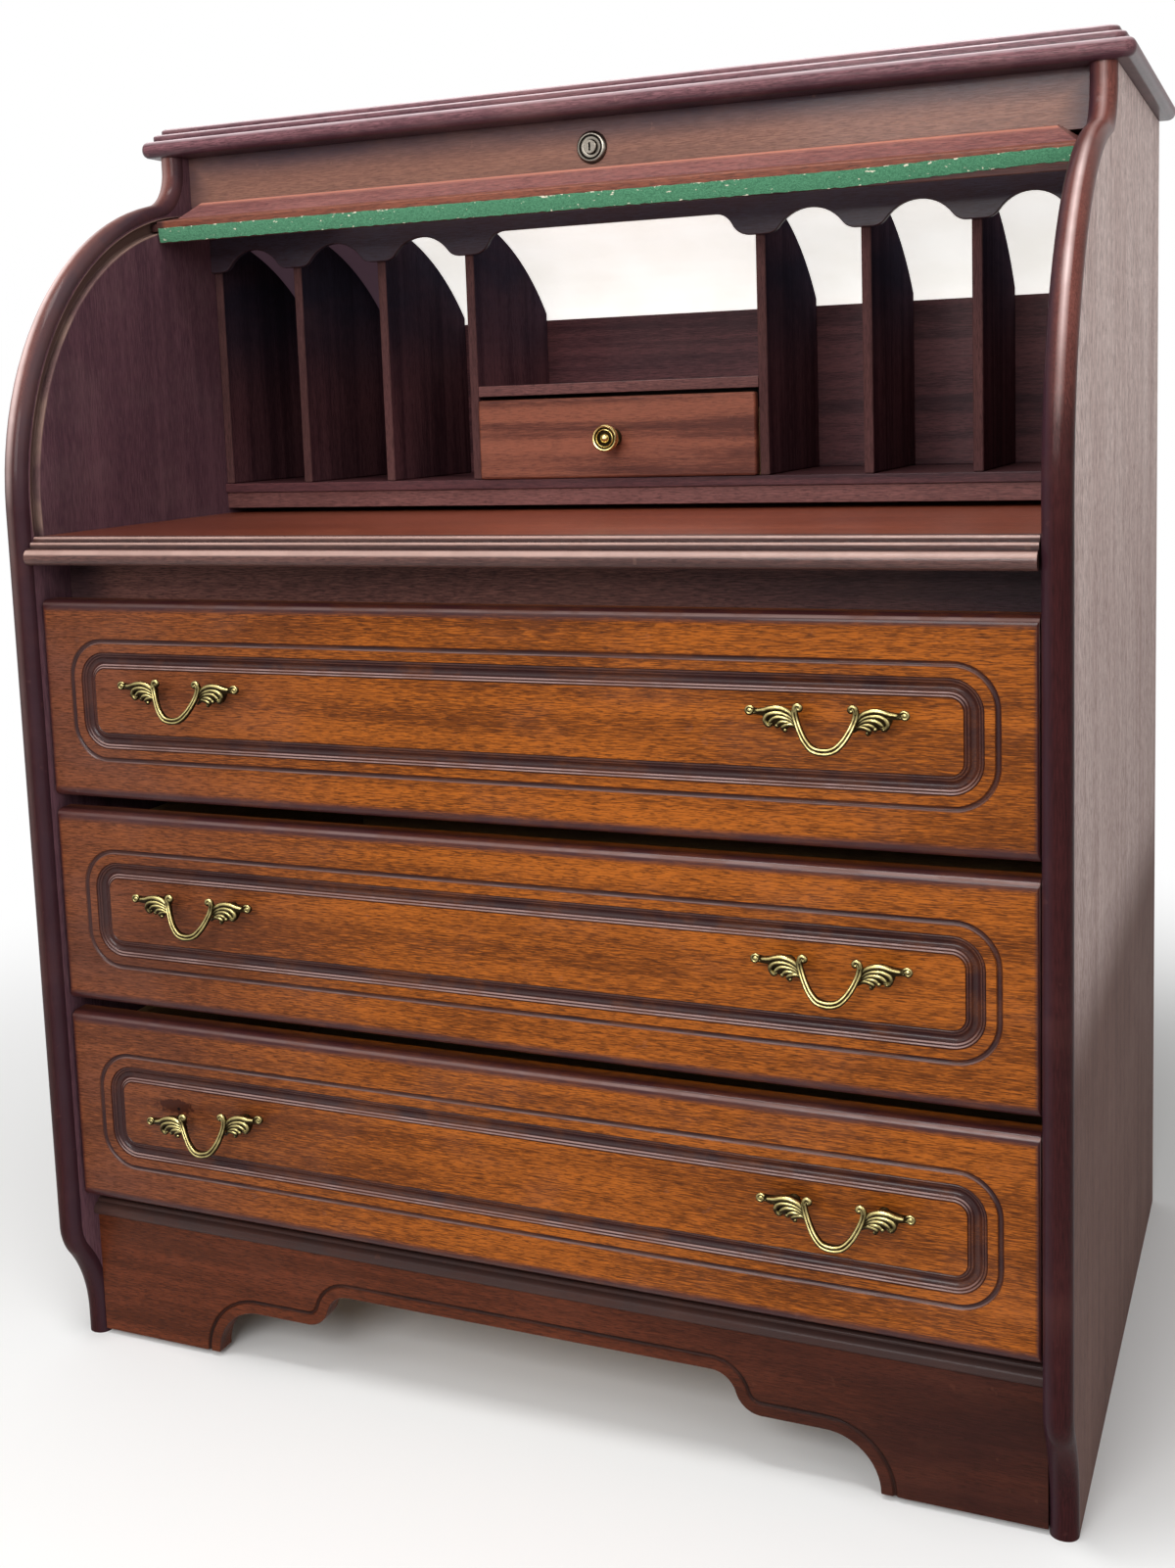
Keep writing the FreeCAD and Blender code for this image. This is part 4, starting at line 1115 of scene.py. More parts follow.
SMALL_WOOD = WoodFinish(
    "small_drawer_front", "mahogany", light=(140, 83, 64), dark=(84, 46, 38), pore=(62, 33, 28),
    edge_tone=(76, 42, 36), rubbed=(160, 106, 88), figure=1.0, shine=0.1, pores=0.4, ribbon=0.9)
ROLL_WOOD = WoodFinish(
    "roll_slats_polish", "mahogany", light=(122, 68, 46), dark=(86, 46, 32), pore=(52, 28, 22),
    rubbed=(142, 96, 74))
STRIP_WOOD = WoodFinish(
    "pull_strip_polish", "mahogany", light=(142, 92, 86), dark=(96, 58, 58), pore=(66, 38, 38),
    edge_tone=(182, 120, 102), rubbed=(150, 104, 96), gloss=0.3, coat=0.15)
# Leading rail: painted shade along its lower edge and at its left end.
RAIL_WOOD = PaintedShadingFinish(
    "leading_rail_bare", "mahogany", light=(138, 80, 60), dark=(98, 55, 44), pore=(72, 39, 32),
    rubbed=(170, 116, 94), shade=(52, 36, 40), spans=(("Z", 1.032, 1.022), ("X", -0.42, -0.428)))
PLAIN_BOX = dict(
    slot="box_wood", light=(176, 142, 100), dark=(142, 110, 74), pore=(104, 78, 52), rubbed=(184, 156, 118),
    gloss=0.6, coat=0.0, figure=0.6, pores=0.3)
BOX_WOOD = WoodFinish("drawer_box_wood", grain=Grain.DEEP, **PLAIN_BOX)
BOX_CROSS = WoodFinish("drawer_box_cross_wood", **PLAIN_BOX)
RAW_BACK = WoodFinish(
    "raw_back_boards", "box_wood", light=(128, 98, 72), dark=(96, 70, 50), pore=(66, 48, 36),
    rubbed=(146, 118, 92), grain=Grain.UPRIGHT, gloss=0.65, coat=0.0, figure=0.9)
PULL_BRASS = MetalFinish("old_brass", "brass", near=-0.309, far=-0.292)
KNOB_BRASS = MetalFinish("knob_brass", "brass", bright=(240, 220, 150), near=-0.016, far=-0.002)
LOCK_METAL = MetalFinish(
    "lock_metal", "lock_metal", bright=(138, 131, 121), dark=(34, 31, 28), near=-0.036, far=-0.024)
FELT = FeltFinish("green_felt", "felt")
CANVAS = CanvasFinish("cream_canvas", "canvas")


# Carcass


@dataclass
class Sides:
    """Side panels with their rounded front lippings."""

    foot_setback: float = 32
    foot_straight: float = 20
    foot_rise: float = 98
    foot_radius: float = 50
    cove_angle: float = math.radians(12)
    cove_radius: float = 38
    lipping_depth: float = 11
    nose_radius: float = 10
    # The fields from here place the painted highlight along each lipping's nose and the painted shadow on its
    # inner side.
    highlight_run: float = 110
    highlight_end: Point = (1010, 1040)
    highlight_loss: float = 0.7
    left_from: float = 765
    left_line: Point = (0.22, 0.35)
    left_bend: Point = (880, 960)
    left_half: float = 0.5
    left_peak: float = 1.25
    left_least: float = 0.05
    right_from: float = 825
    right_line: float = 0.1
    right_half: float = 0.34
    shadow: Point = (0.1, 0.7)

    def front(self, inset: float) -> list[Point]:
        """Front edge from floor to top, as setback and height.

        Args:
            inset: How far the line lies inside the real front.

        Returns:
            The points of the line.
        """
        ogee = (self.foot_rise ** 2 + self.foot_setback ** 2) / (2 * self.foot_setback)
        share = self.foot_radius / ogee
        lean_cos, lean_sin = 1 - self.foot_setback / ogee, self.foot_rise / ogee
        foot_top = self.foot_straight + self.foot_rise
        radius, sine, cosine = TRACK_SETBACK, math.sin(self.cove_angle), math.cos(self.cove_angle)
        cove_y = radius - (radius + self.cove_radius) * sine + self.cove_radius + inset
        corners = [
            Corner(self.foot_setback + inset, 0),
            Corner(self.foot_setback + inset, self.foot_straight),
            Corner(self.foot_setback * share + inset * lean_cos,
                   foot_top - self.foot_rise * share + inset * lean_sin, ogee - self.foot_radius + inset),
            Corner(inset, foot_top, self.foot_radius - inset, left=False),
            Corner(inset, TRACK_HEIGHT),
            Corner(radius - (radius - inset) * sine, TRACK_HEIGHT + (radius - inset) * cosine,
                   radius - inset, left=False),
            Corner(cove_y, TRACK_HEIGHT + (radius + self.cove_radius) * cosine, self.cove_radius + inset),
            Corner(cove_y, CARCASS_HEIGHT),
        ]
        return [corner for i in range(1, len(corners)) for corner in self.run(corners[i - 1], corners[i])]

    def run(self, start: Corner, end: Corner, parts: int = 24) -> list[Point]:
        """One run of the front edge in a fixed number of steps, so that lines at any inset match."""
        if end.radius is None:
            return [(start.x, start.y), (end.x, end.y)]
        middle = arc_points(start, end, 0.5)
        picks = [middle[round(k * (len(middle) - 1) / parts)] for k in range(parts + 1)]
        return [(start.x, start.y), *picks, (end.x, end.y)]

    def section(self, parts: int = 16) -> list[Point]:
        """Section of a lipping: pairs of x from its middle and inset from its front."""
        half, nose = SIDE_THICK / 2, self.nose_radius
        turns = [math.radians(90 * k / parts) for k in range(parts + 1)]
        right = [(half - nose + nose * math.sin(a), nose - nose * math.cos(a)) for a in turns]
        return [(-x, i) for x, i in reversed(right)] + right

    def polish_and_highlight(self, hand: Hand, outwards: float, z: float) -> float:
        """How strong the painted highlight along a lipping is at a place.

        Args:
            hand: Which lipping.
            outwards: Place across it, from -1 on its inner side to 1 on its outer side.
            z: Height of the place.

        Returns:
            The share of the painted highlight tone, from 0 to 1.
        """
        start = self.left_from if hand is Hand.LEFT else self.right_from
        worn = share_of(z, start, start + self.highlight_run)
        worn *= 1 - self.highlight_loss * share_of(z, *self.highlight_end)
        if hand is Hand.RIGHT:
            return worn * max(1 - abs(outwards - self.right_line) / self.right_half, 0)
        low, high = self.left_line
        line = low + (high - low) * share_of(z, *self.left_bend)
        bright = self.left_peak * (1 - abs(outwards - line) / self.left_half)
        return worn * min(max(bright, self.left_least), 1)

    def lipping(self, hand: Hand) -> None:
        """A lipping whose section follows the front edge."""
        shape = Shape()
        half = SIDE_THICK / 2
        middle = hand.value * (INNER_HALF + half)
        lines = []
        for x, inset in [(-half, self.lipping_depth), *self.section(), (half, self.lipping_depth)]:
            front = self.front(inset)
            lines.append(shape.line([(middle + x, FRONT + s, z) for s, z in front]))
            outwards = hand.value * x / half
            for number, (_, z) in zip(lines[-1], front):
                # The edge mark paints the highlight, the recess mark paints shadow on the inner side.
                shape.marks["edge"][number] = self.polish_and_highlight(hand, outwards, z)
                shape.marks["recess"][number] = share_of(-outwards, *self.shadow)
        shape.moulding(lines)
        name = hand.name.lower()
        set_piece(f"lipping_rounded_{name}", shape, DARK_UPRIGHT, f"lipping_{name}")

    def build(self) -> None:
        """Both panels and both lippings."""
        for hand in Hand:
            ease_edges(f"side_panel_{hand.name.lower()}", SIDE_VENEER)
            self.lipping(hand)


@dataclass
class TopBoard:
    """The top: a rounded roll, a fine quirk and two steps, moulded on front and ends."""

    half_width: float = 470
    setback: float = 248.03
    corner: float = 9
    least_corner: float = 2
    corner_step: float = 11.25
    roll_inset: float = 8
    # Rows of inset, rise, recess and edge: the recess paints shade under the roll and darkens the quirks, the
    # edge paints highlights on the upper roundings.
    profile: tuple[Quad, ...] = (
        (7, 0, 1, 0), (4.3, 0.55, 1, 0), (2.05, 2.05, 0.9, 0), (0.55, 4.3, 0.6, 0), (0, 7, 0.2, 0),
        (0, 9, 0, 0), (0.55, 11.7, 0, 0), (2.05, 13.95, 0, 0.4), (3.3, 15, 0, 1), (4.3, 15.45, 0, 1),
        (6.6, 15.9, 0.3, 0.2), (7.4, 15.2, 0.9, 0), (8.2, 15.2, 1, 0), (8.2, 18, 0.3, 0),
        (8.2, 20.4, 0, 0.1), (8.4, 21.2, 0, 0.9), (8.9, 21.8, 0, 1), (9.6, 22, 0, 0.7), (12.6, 22, 0.3, 0),
        (13.3, 21.5, 0.9, 0), (14.1, 21.5, 1, 0), (14.1, 24, 0.3, 0), (14.1, 26.2, 0, 0.1),
        (14.5, 27.2, 0, 0.9), (15.2, 27.8, 0, 1), (16.1, 28, 0, 0.7), (19, 28, 0, 0))

    def plan(self, inset: float) -> list[Point]:
        """Outline of the board from above, drawn in on front and ends."""
        half, depth = self.half_width - inset, DEPTH - self.setback
        radius = max(self.corner - inset, self.least_corner) if inset < self.roll_inset else self.corner
        corners = [
            Corner(half, depth), Corner(-half, depth), Corner(-half, inset + radius),
            Corner(radius - half, inset, radius), Corner(half - radius, inset),
            Corner(half, inset + radius, radius)]
        return trace(corners, self.corner_step)

    def build(self) -> None:
        """Loft the plan through the profile."""
        shape = Shape()
        front = FRONT + self.setback
        shape.loft([shape.line([(x, front + y, CARCASS_HEIGHT + rise) for x, y in self.plan(inset)],
                               recess, edge) for inset, rise, recess, edge in self.profile])
        set_piece("top_moulded", shape, TOP_WOOD, "top_board")


@dataclass
class Plinth:
    """The bracketed plinth with a dark bead along its top and a scribed line that follows its arch."""

    setback: float = 35
    thick: float = 18
    lift: float = 5
    height: float = 134
    round: float = 3
    bead: float = 6
    bead_proud: float = 6.5
    bead_gap: float = 0.2
    arc_step: float = 22.5
    shoulder: float = 262
    shoulder_length: float = 52
    shoulder_height: float = 49
    arch_run: float = 42
    arch_height: float = 81
    rim: float = 0.7
    rim_edge: float = 0.6
    scribe: tuple[Point, ...] = (
        (0.7, 0), (9.0, 0), (9.6, 0.9), (10.6, 1.7), (11.6, 1.7), (12.6, 0.9), (13.2, 0))
    scribe_dark: float = 1.5

    def arch(self) -> list[Point]:
        """The arch from the right foot to the left one."""
        rise = self.arch_height - self.shoulder_height
        swing = (self.arch_run ** 2 + rise ** 2) / (4 * rise)
        toe, step = self.shoulder_height - self.lift, self.shoulder - self.shoulder_length
        chain = [
            Corner(self.shoulder + toe, self.lift), Corner(self.shoulder, self.shoulder_height, toe),
            Corner(step, self.shoulder_height),
            Corner(step - self.arch_run / 2, self.shoulder_height + rise / 2, swing, left=False),
            Corner(step - self.arch_run, self.arch_height, swing),
        ]
        return trace(across_middle(chain), 6.0, closed=False)

    def crown(self, face: float) -> list[Point]:
        """The upper edge from the face upwards, as y and height: the bead, then the rounding."""
        low = self.height - self.round - 2 * (self.bead + self.bead_gap)
        turns = [math.radians(self.arc_step * k) for k in range(9)]
        bead = [(face - self.bead_proud * math.sin(a), low + self.bead_gap + self.bead * (1 - math.cos(a)))
                for a in turns]
        rounding = [(face + self.round * (1 - math.cos(a)), self.height - self.round * (1 - math.sin(a)))
                    for a in turns[:5]]
        return [(face, low), *bead, *rounding]

    def between_sides(self, shape: Shape, y: float, z: float, edge: float = 0) -> list[int]:
        """A straight line from side to side."""
        return shape.line([(-INNER_HALF, y, z), (INNER_HALF, y, z)], edge=edge)

    def build(self) -> None:
        """Front with its scribed line, beaded upper edge, and the rest of the board."""
        shape = Shape()
        face = FRONT + self.setback
        rear = face + self.thick
        arch = self.arch()
        lines = [shape.line([(x, face + self.rim, z) for x, z in arch], edge=self.rim_edge)]
        for amount, depth in self.scribe:
            moved = shift_sideways(arch, -amount)
            moved[0] = (arch[0][0] + amount, self.lift)
            moved[-1] = (arch[-1][0] - amount, self.lift)
            dark = min(depth / self.scribe_dark, 1)
            lines.append(shape.line([(x, face + depth, z) for x, z in moved], recess=dark))
        shape.skin(lines, closed=False)
        rows = [self.between_sides(shape, y, z, float(k > 0)) for k, (y, z) in enumerate(self.crown(face))]
        feet = self.between_sides(shape, face, self.lift)
        shape.skin(rows, closed=False)
        shape.cap([*lines[-1], feet[0], rows[0][0], rows[0][1], feet[1]])
        back_arch = shape.line([(x, rear, z) for x, z in arch])
        back_top = self.between_sides(shape, rear, self.height)
        back_feet = self.between_sides(shape, rear, self.lift)
        shape.bridge(lines[0], back_arch, closed=False)
        shape.cap([*back_arch, back_feet[0], back_top[0], back_top[1], back_feet[1]])
        shape.cap([rows[-1][0], rows[-1][1], back_top[1], back_top[0]])
        for end, foot in ((0, -1), (1, 0)):
            ends = [line[foot] for line in lines]
            shape.cap([feet[end], *reversed(ends), back_arch[foot], back_feet[end]])
            shape.cap([feet[end], *[row[end] for row in rows], back_top[end], back_feet[end]])
        set_piece("plinth_bracketed", shape, PLINTH_WOOD, "plinth_board")


@dataclass
class FixedBoards:
    """The fixed boards between the sides, with their edges eased."""

    ease: float = 0.9

    def build(self) -> None:
        """Ease the edges of each board and dress it."""
        boards = {"fascia": FASCIA_WOOD, "apron_rail": DARK_RAIL, "bottom_board": BOX_CROSS,
                  "back_panel": RAW_BACK, "slide_runners": BOX_WOOD, "drawer_runners": BOX_WOOD}
        for node, finish in boards.items():
            ease_edges(node, finish, self.ease)


# Writing board


@dataclass
class WritingSlide:
    """The pull-out writing board with its moulded front edge."""

    half: float = 431.8
    arris: float = 1
    ease: float = 0.6
    # Rows of setback, height, recess and edge: the recess darkens the quirks, the edge paints highlights on
    # the upper corners of the steps.
    profile: tuple[Quad, ...] = (
        (27, 753, 0, 0), (14.4, 753, 0, 0), (13.4, 753, 0, 0.8), (12.3, 752.5, 0, 1), (12, 751.6, 0, 0.8),
        (12, 750.8, 0, 0), (12, 748.6, 0.9, 0), (8.9, 748.4, 1, 0), (8.4, 748.4, 0.2, 0.8),
        (7.4, 747.9, 0, 1), (7, 747, 0, 0.8), (7, 746.2, 0, 0), (7, 743.8, 0.9, 0), (3.6, 743.4, 0.9, 0))
    roll_middle: Point = (4, 736)
    roll_radius: float = 7
    roll_start: float = 92
    roll_sweep: float = 178
    roll_steps: int = 12
    roll_highlighted: tuple[int, ...] = (2, 3, 4)
    roll_shaded_from: int = 8
    heel: Quad = (27, 729, 0.5, 0)

    def section(self) -> list[Quad]:
        """The edge's section from the top: setback, height, recess and painted highlight."""
        roll = []
        for k in range(self.roll_steps + 1):
            a = math.radians(self.roll_start + self.roll_sweep * k / self.roll_steps)
            # Painted shade on the lower part of the roll, painted highlight near its top.
            roll.append((self.roll_middle[0] + self.roll_radius * math.cos(a),
                         self.roll_middle[1] + self.roll_radius * math.sin(a),
                         0.3 * (k >= self.roll_shaded_from), 0.9 * (k in self.roll_highlighted)))
        return [*self.profile, *roll, self.heel]

    def build(self) -> None:
        """The edge moulding, run through from end to end, and the board behind it."""
        shape = Shape()
        places = (-self.half, self.arris - self.half, self.half - self.arris, self.half)
        shape.moulding([shape.line([(x, FRONT + s, z) for x in places], recess, edge)
                        for s, z, recess, edge in self.section()])
        set_piece("writing_edge_moulded", shape, EDGE_WOOD, "writing_edge")
        ease_edges("writing_board", WRITING_WOOD, self.ease)


# Long drawers


@dataclass
class DrawerFront:
    """A long drawer's front: rounded edges, a sunk ring and a reeded frame round its panel."""

    number: int
    half_width: float = 431
    half_height: float = DRAWER_HALF_HEIGHT
    thick: float = 20
    arris: float = 0.5
    edge_round: float = 8
    end_round: float = 2.5
    edge_depths: tuple[float, ...] = (8, 6.6, 5.2, 4.0, 2.9, 2.0, 1.2, 0.6, 0.2, 0)
    face_edge: float = 0.65
    # Painted highlight along the top edge: its edge lines and its strength at left and right; the last field
    # is where an upward flank starts to take a highlight.
    highlight_depths: tuple[float, ...] = (2.0, 1.2)
    left_highlight: float = 0.2
    right_highlight: float = 0.8
    highlight_from: float = 0.3
    ring: Solid = (405, 55, 35)
    ring_profile: tuple[Point, ...] = (
        (0, 0), (0.3, 0.4), (0.9, 1.3), (1.7, 2.0), (2.5, 2.2), (3.3, 2.0), (4.1, 1.3), (4.7, 0.4), (5, 0))
    frame: Solid = (393, 43, 25)
    frame_width: float = 15
    reeds: tuple[Solid, ...] = (
        (0, 0, 0), (0.2, 0.7, 0.7), (0.4, 1.1, 1), (0.8, 0.6, 1), (1.4, 0.35, 0.9), (2.0, 0.55, 0.9),
        (2.4, 1.1, 1), (2.7, 1.7, 1), (3.0, 1.35, 1), (3.6, 1.3, 0.9), (4.2, 1.6, 0.9), (4.6, 2.3, 1),
        (4.9, 2.9, 1), (5.5, 3.35, 1), (6.2, 3.9, 1), (7.0, 4.25, 1), (7.5, 4.35, 1))

    @property
    def middle(self) -> float:
        """Height of the drawer's middle."""
        return drawer_middle(self.number)

    def corner_round(self, radius: float, depth: float) -> float:
        """How far a rounded edge draws in at a depth behind the face."""
        if depth >= radius:
            return 0.0
        return radius - math.sqrt(radius ** 2 - (radius - depth) ** 2)

    def outline(self, sizes: Solid, inset: float, depth: float) -> list[Solid]:
        """A rounded rectangle on the front, drawn in by an inset."""
        width, height, radius = sizes
        ring = rounded_rectangle(width - inset, height - inset, max(radius - inset, 0.2))
        return [(x, FRONT + DRAWER_SETBACK + depth, self.middle + z) for x, z in ring]

    def paint_highlight(self, shape: Shape, line: Sequence[int], radius: float, outer: bool, amount: float) -> None:
        """Paint a highlight along a line of a hollow where its flank faces upwards.

        Args:
            shape: The front under way.
            line: Numbers of the line's points.
            radius: Corner radius of the line.
            outer: Whether the flank lies on the outer side of the hollow.
            amount: How bright the painted highlight is at most.
        """
        rise = max(shape.points[n][2] for n in line) - self.middle - radius
        for number in line:
            height = shape.points[number][2] - self.middle
            up = max(abs(height) - rise, 0) / radius * math.copysign(1, height) * (-1 if outer else 1)
            if up > self.highlight_from:
                shape.marks["worn"][number] = amount * (up - self.highlight_from) / (1 - self.highlight_from)

    def edges(self, shape: Shape) -> list[list[int]]:
        """The rear and the rounded edges, with painted shade on the edges and a painted highlight along the
        top.

        Args:
            shape: Takes the points.

        Returns:
            Rings from the rear to the face.
        """
        rings = [shape.line(self.outline((self.half_width, self.half_height, self.arris), 0, self.thick))]
        for depth in self.edge_depths:
            width = self.half_width - self.corner_round(self.end_round, depth)
            height = self.half_height - self.corner_round(self.edge_round, depth)
            # The rounded edges take the edge tone, a painted shade.
            rings.append(shape.line(self.outline((width, height, self.arris), 0, depth),
                                    edge=1.0 if depth else self.face_edge))
            # A painted highlight along the top edge, brighter at the right.
            for number in rings[-1] if depth in self.highlight_depths else ():
                x, _, z = shape.points[number]
                if z > self.middle + height - 1:
                    shape.marks["worn"][number] = self.right_highlight if x > 0 else self.left_highlight
        return rings

    def build(self) -> None:
        """From the rear round the edges, through ring and reeds, to the panel."""
        shape = Shape()
        rings = self.edges(shape)
        calm = (self.half_width - self.end_round - 2, self.half_height - self.edge_round - 2.5, self.arris)
        rings.append(shape.line(self.outline(calm, 0, 0)))
        rings.append(shape.line(self.outline(self.ring, -1.2, 0)))
        for k, (inset, depth) in enumerate(self.ring_profile):
            rings.append(shape.line(self.outline(self.ring, inset, depth), recess=min(depth, 1)))
            # Painted highlight on the upward flanks of the sunk ring.
            if k in (2, 6):
                self.paint_highlight(shape, rings[-1], self.ring[2] - inset, k == 2, 0.8)
        rings.append(shape.line(self.outline(self.ring, 6.2, 0)))
        rings.append(shape.line(self.outline(self.frame, -1.0, 0)))
        reeds = list(self.reeds) + [(self.frame_width - inset, *rest) for inset, *rest in self.reeds[-2::-1]]
        for inset, depth, recess in reeds:
            rings.append(shape.line(self.outline(self.frame, inset, depth), recess))
            # Painted highlight on the upward flanks of the reeds.
            if recess == 0.9:
                self.paint_highlight(shape, rings[-1], self.frame[2] - inset, inset < self.frame_width / 2, 1.0)
        rings.append(shape.line(self.outline(self.frame, self.frame_width + 1.2, 0)))
        shape.loft(rings)
        finish = SCARRED_FRONT if self.number == DRAWER_COUNT else DRAWER_FRONT
        set_piece(f"drawer_{self.number}_front_moulded", shape, finish, f"drawer_{self.number}_front")


class Rig:
    """A geometry tree with named inputs, whose result is plain and dressed."""

    def __init__(self, name: str, inputs: dict[str, str], fill: Callable[[Bench, Values], Socket]) -> None:
        """Build the tree once.

        Args:
            name: Name of the tree.
            inputs: Socket types of its inputs by name, besides the geometry and the finish.
            fill: Lays the nodes and gives the geometry that they make.
        """
        self.tree = bpy.data.node_groups.new(name, "GeometryNodeTree")
        face = self.tree.interface
        face.new_socket("Geometry", in_out="INPUT", socket_type="NodeSocketGeometry")
        self.inputs = {
            label: face.new_socket(label, in_out="INPUT", socket_type=f"NodeSocket{kind}").identifier
            for label, kind in {**inputs, "Finish": "Material"}.items()}
        face.new_socket("Geometry", in_out="OUTPUT", socket_type="NodeSocketGeometry")
        bench = Bench(self.tree)
        given = bench.values(bench.put("NodeGroupInput"))
        plain = bench.put("GeometryNodeRealizeInstances", {"Geometry": fill(bench, given)})
        dressed = bench.put("GeometryNodeSetMaterial", {"Geometry": plain.outputs["Geometry"],
                                                        "Material": given["Finish"]})
        bench.put("NodeGroupOutput", {"Geometry": dressed.outputs["Geometry"]})

    def fit(self, piece: Object, values: dict[str, object]) -> Object:
        """Put the tree on a piece.

        Args:
            piece: The piece.
            values: Values of the inputs by name.

        Returns:
            The same piece.
        """
        way = piece.modifiers.new(self.tree.name, "NODES")
        way.node_group = self.tree
        for label, value in values.items():
            way[self.inputs[label]] = value
        return piece


class RibSweeper:
    """Sweeps a round section, as thick as each point says, along every line given."""

    def __init__(self) -> None:
        """Build the tree once."""
        self.rig = Rig("ribs_along_lines", {"Sides": "Int"}, self.fill)

    def fill(self, bench: Bench, given: Values) -> Socket:
        """Lay the nodes that sweep a ring along the lines.

        Args:
            bench: The tree's bench.
            given: The tree's inputs.

        Returns:
            The geometry.
        """
        ring = bench.put("GeometryNodeCurvePrimitiveCircle", {"Resolution": given["Sides"], "Radius": 1.0})
        thick = bench.put("GeometryNodeInputRadius")
        swept = bench.put("GeometryNodeCurveToMesh",
                          {"Curve": given["Geometry"], "Profile Curve": ring.outputs["Curve"],
                           "Scale": thick.outputs["Radius"], "Fill Caps": True})
        return swept.outputs["Mesh"]

    def sweep(self, lines: Sequence[Sequence[Quad]], finish: Finish, recess: float = 0.0,
              sides: int = 10) -> Mesh:
        """Sweep lines of points.

        Args:
            lines: Lines of x, y, z and thickness radius, in millimetres.
            finish: The ribs' finish.
            recess: How deep in a hollow they lie, from 0 to 1.
            sides: Faces round a rib.

        Returns:
            One plain mesh of all ribs.
        """
        curves = bpy.data.curves.new("rib_lines", "CURVE")
        curves.dimensions = "3D"
        for line in lines:
            spline = curves.splines.new("POLY")
            spline.points.add(len(line) - 1)
            for point, (x, y, z, radius) in zip(spline.points, line):
                point.co = (x * MM, y * MM, z * MM, 1.0)
                point.radius = radius * MM
        carrier = self.rig.fit(add_object("rib_lines", curves), {"Sides": sides, "Finish": finish.material})
        mesh = plain_mesh(carrier, keep_layers=False)
        bpy.data.objects.remove(carrier)
        layer = mesh.attributes.new("recess", "FLOAT", "POINT")
        layer.data.foreach_set("value", [recess] * len(mesh.vertices))
        return mesh


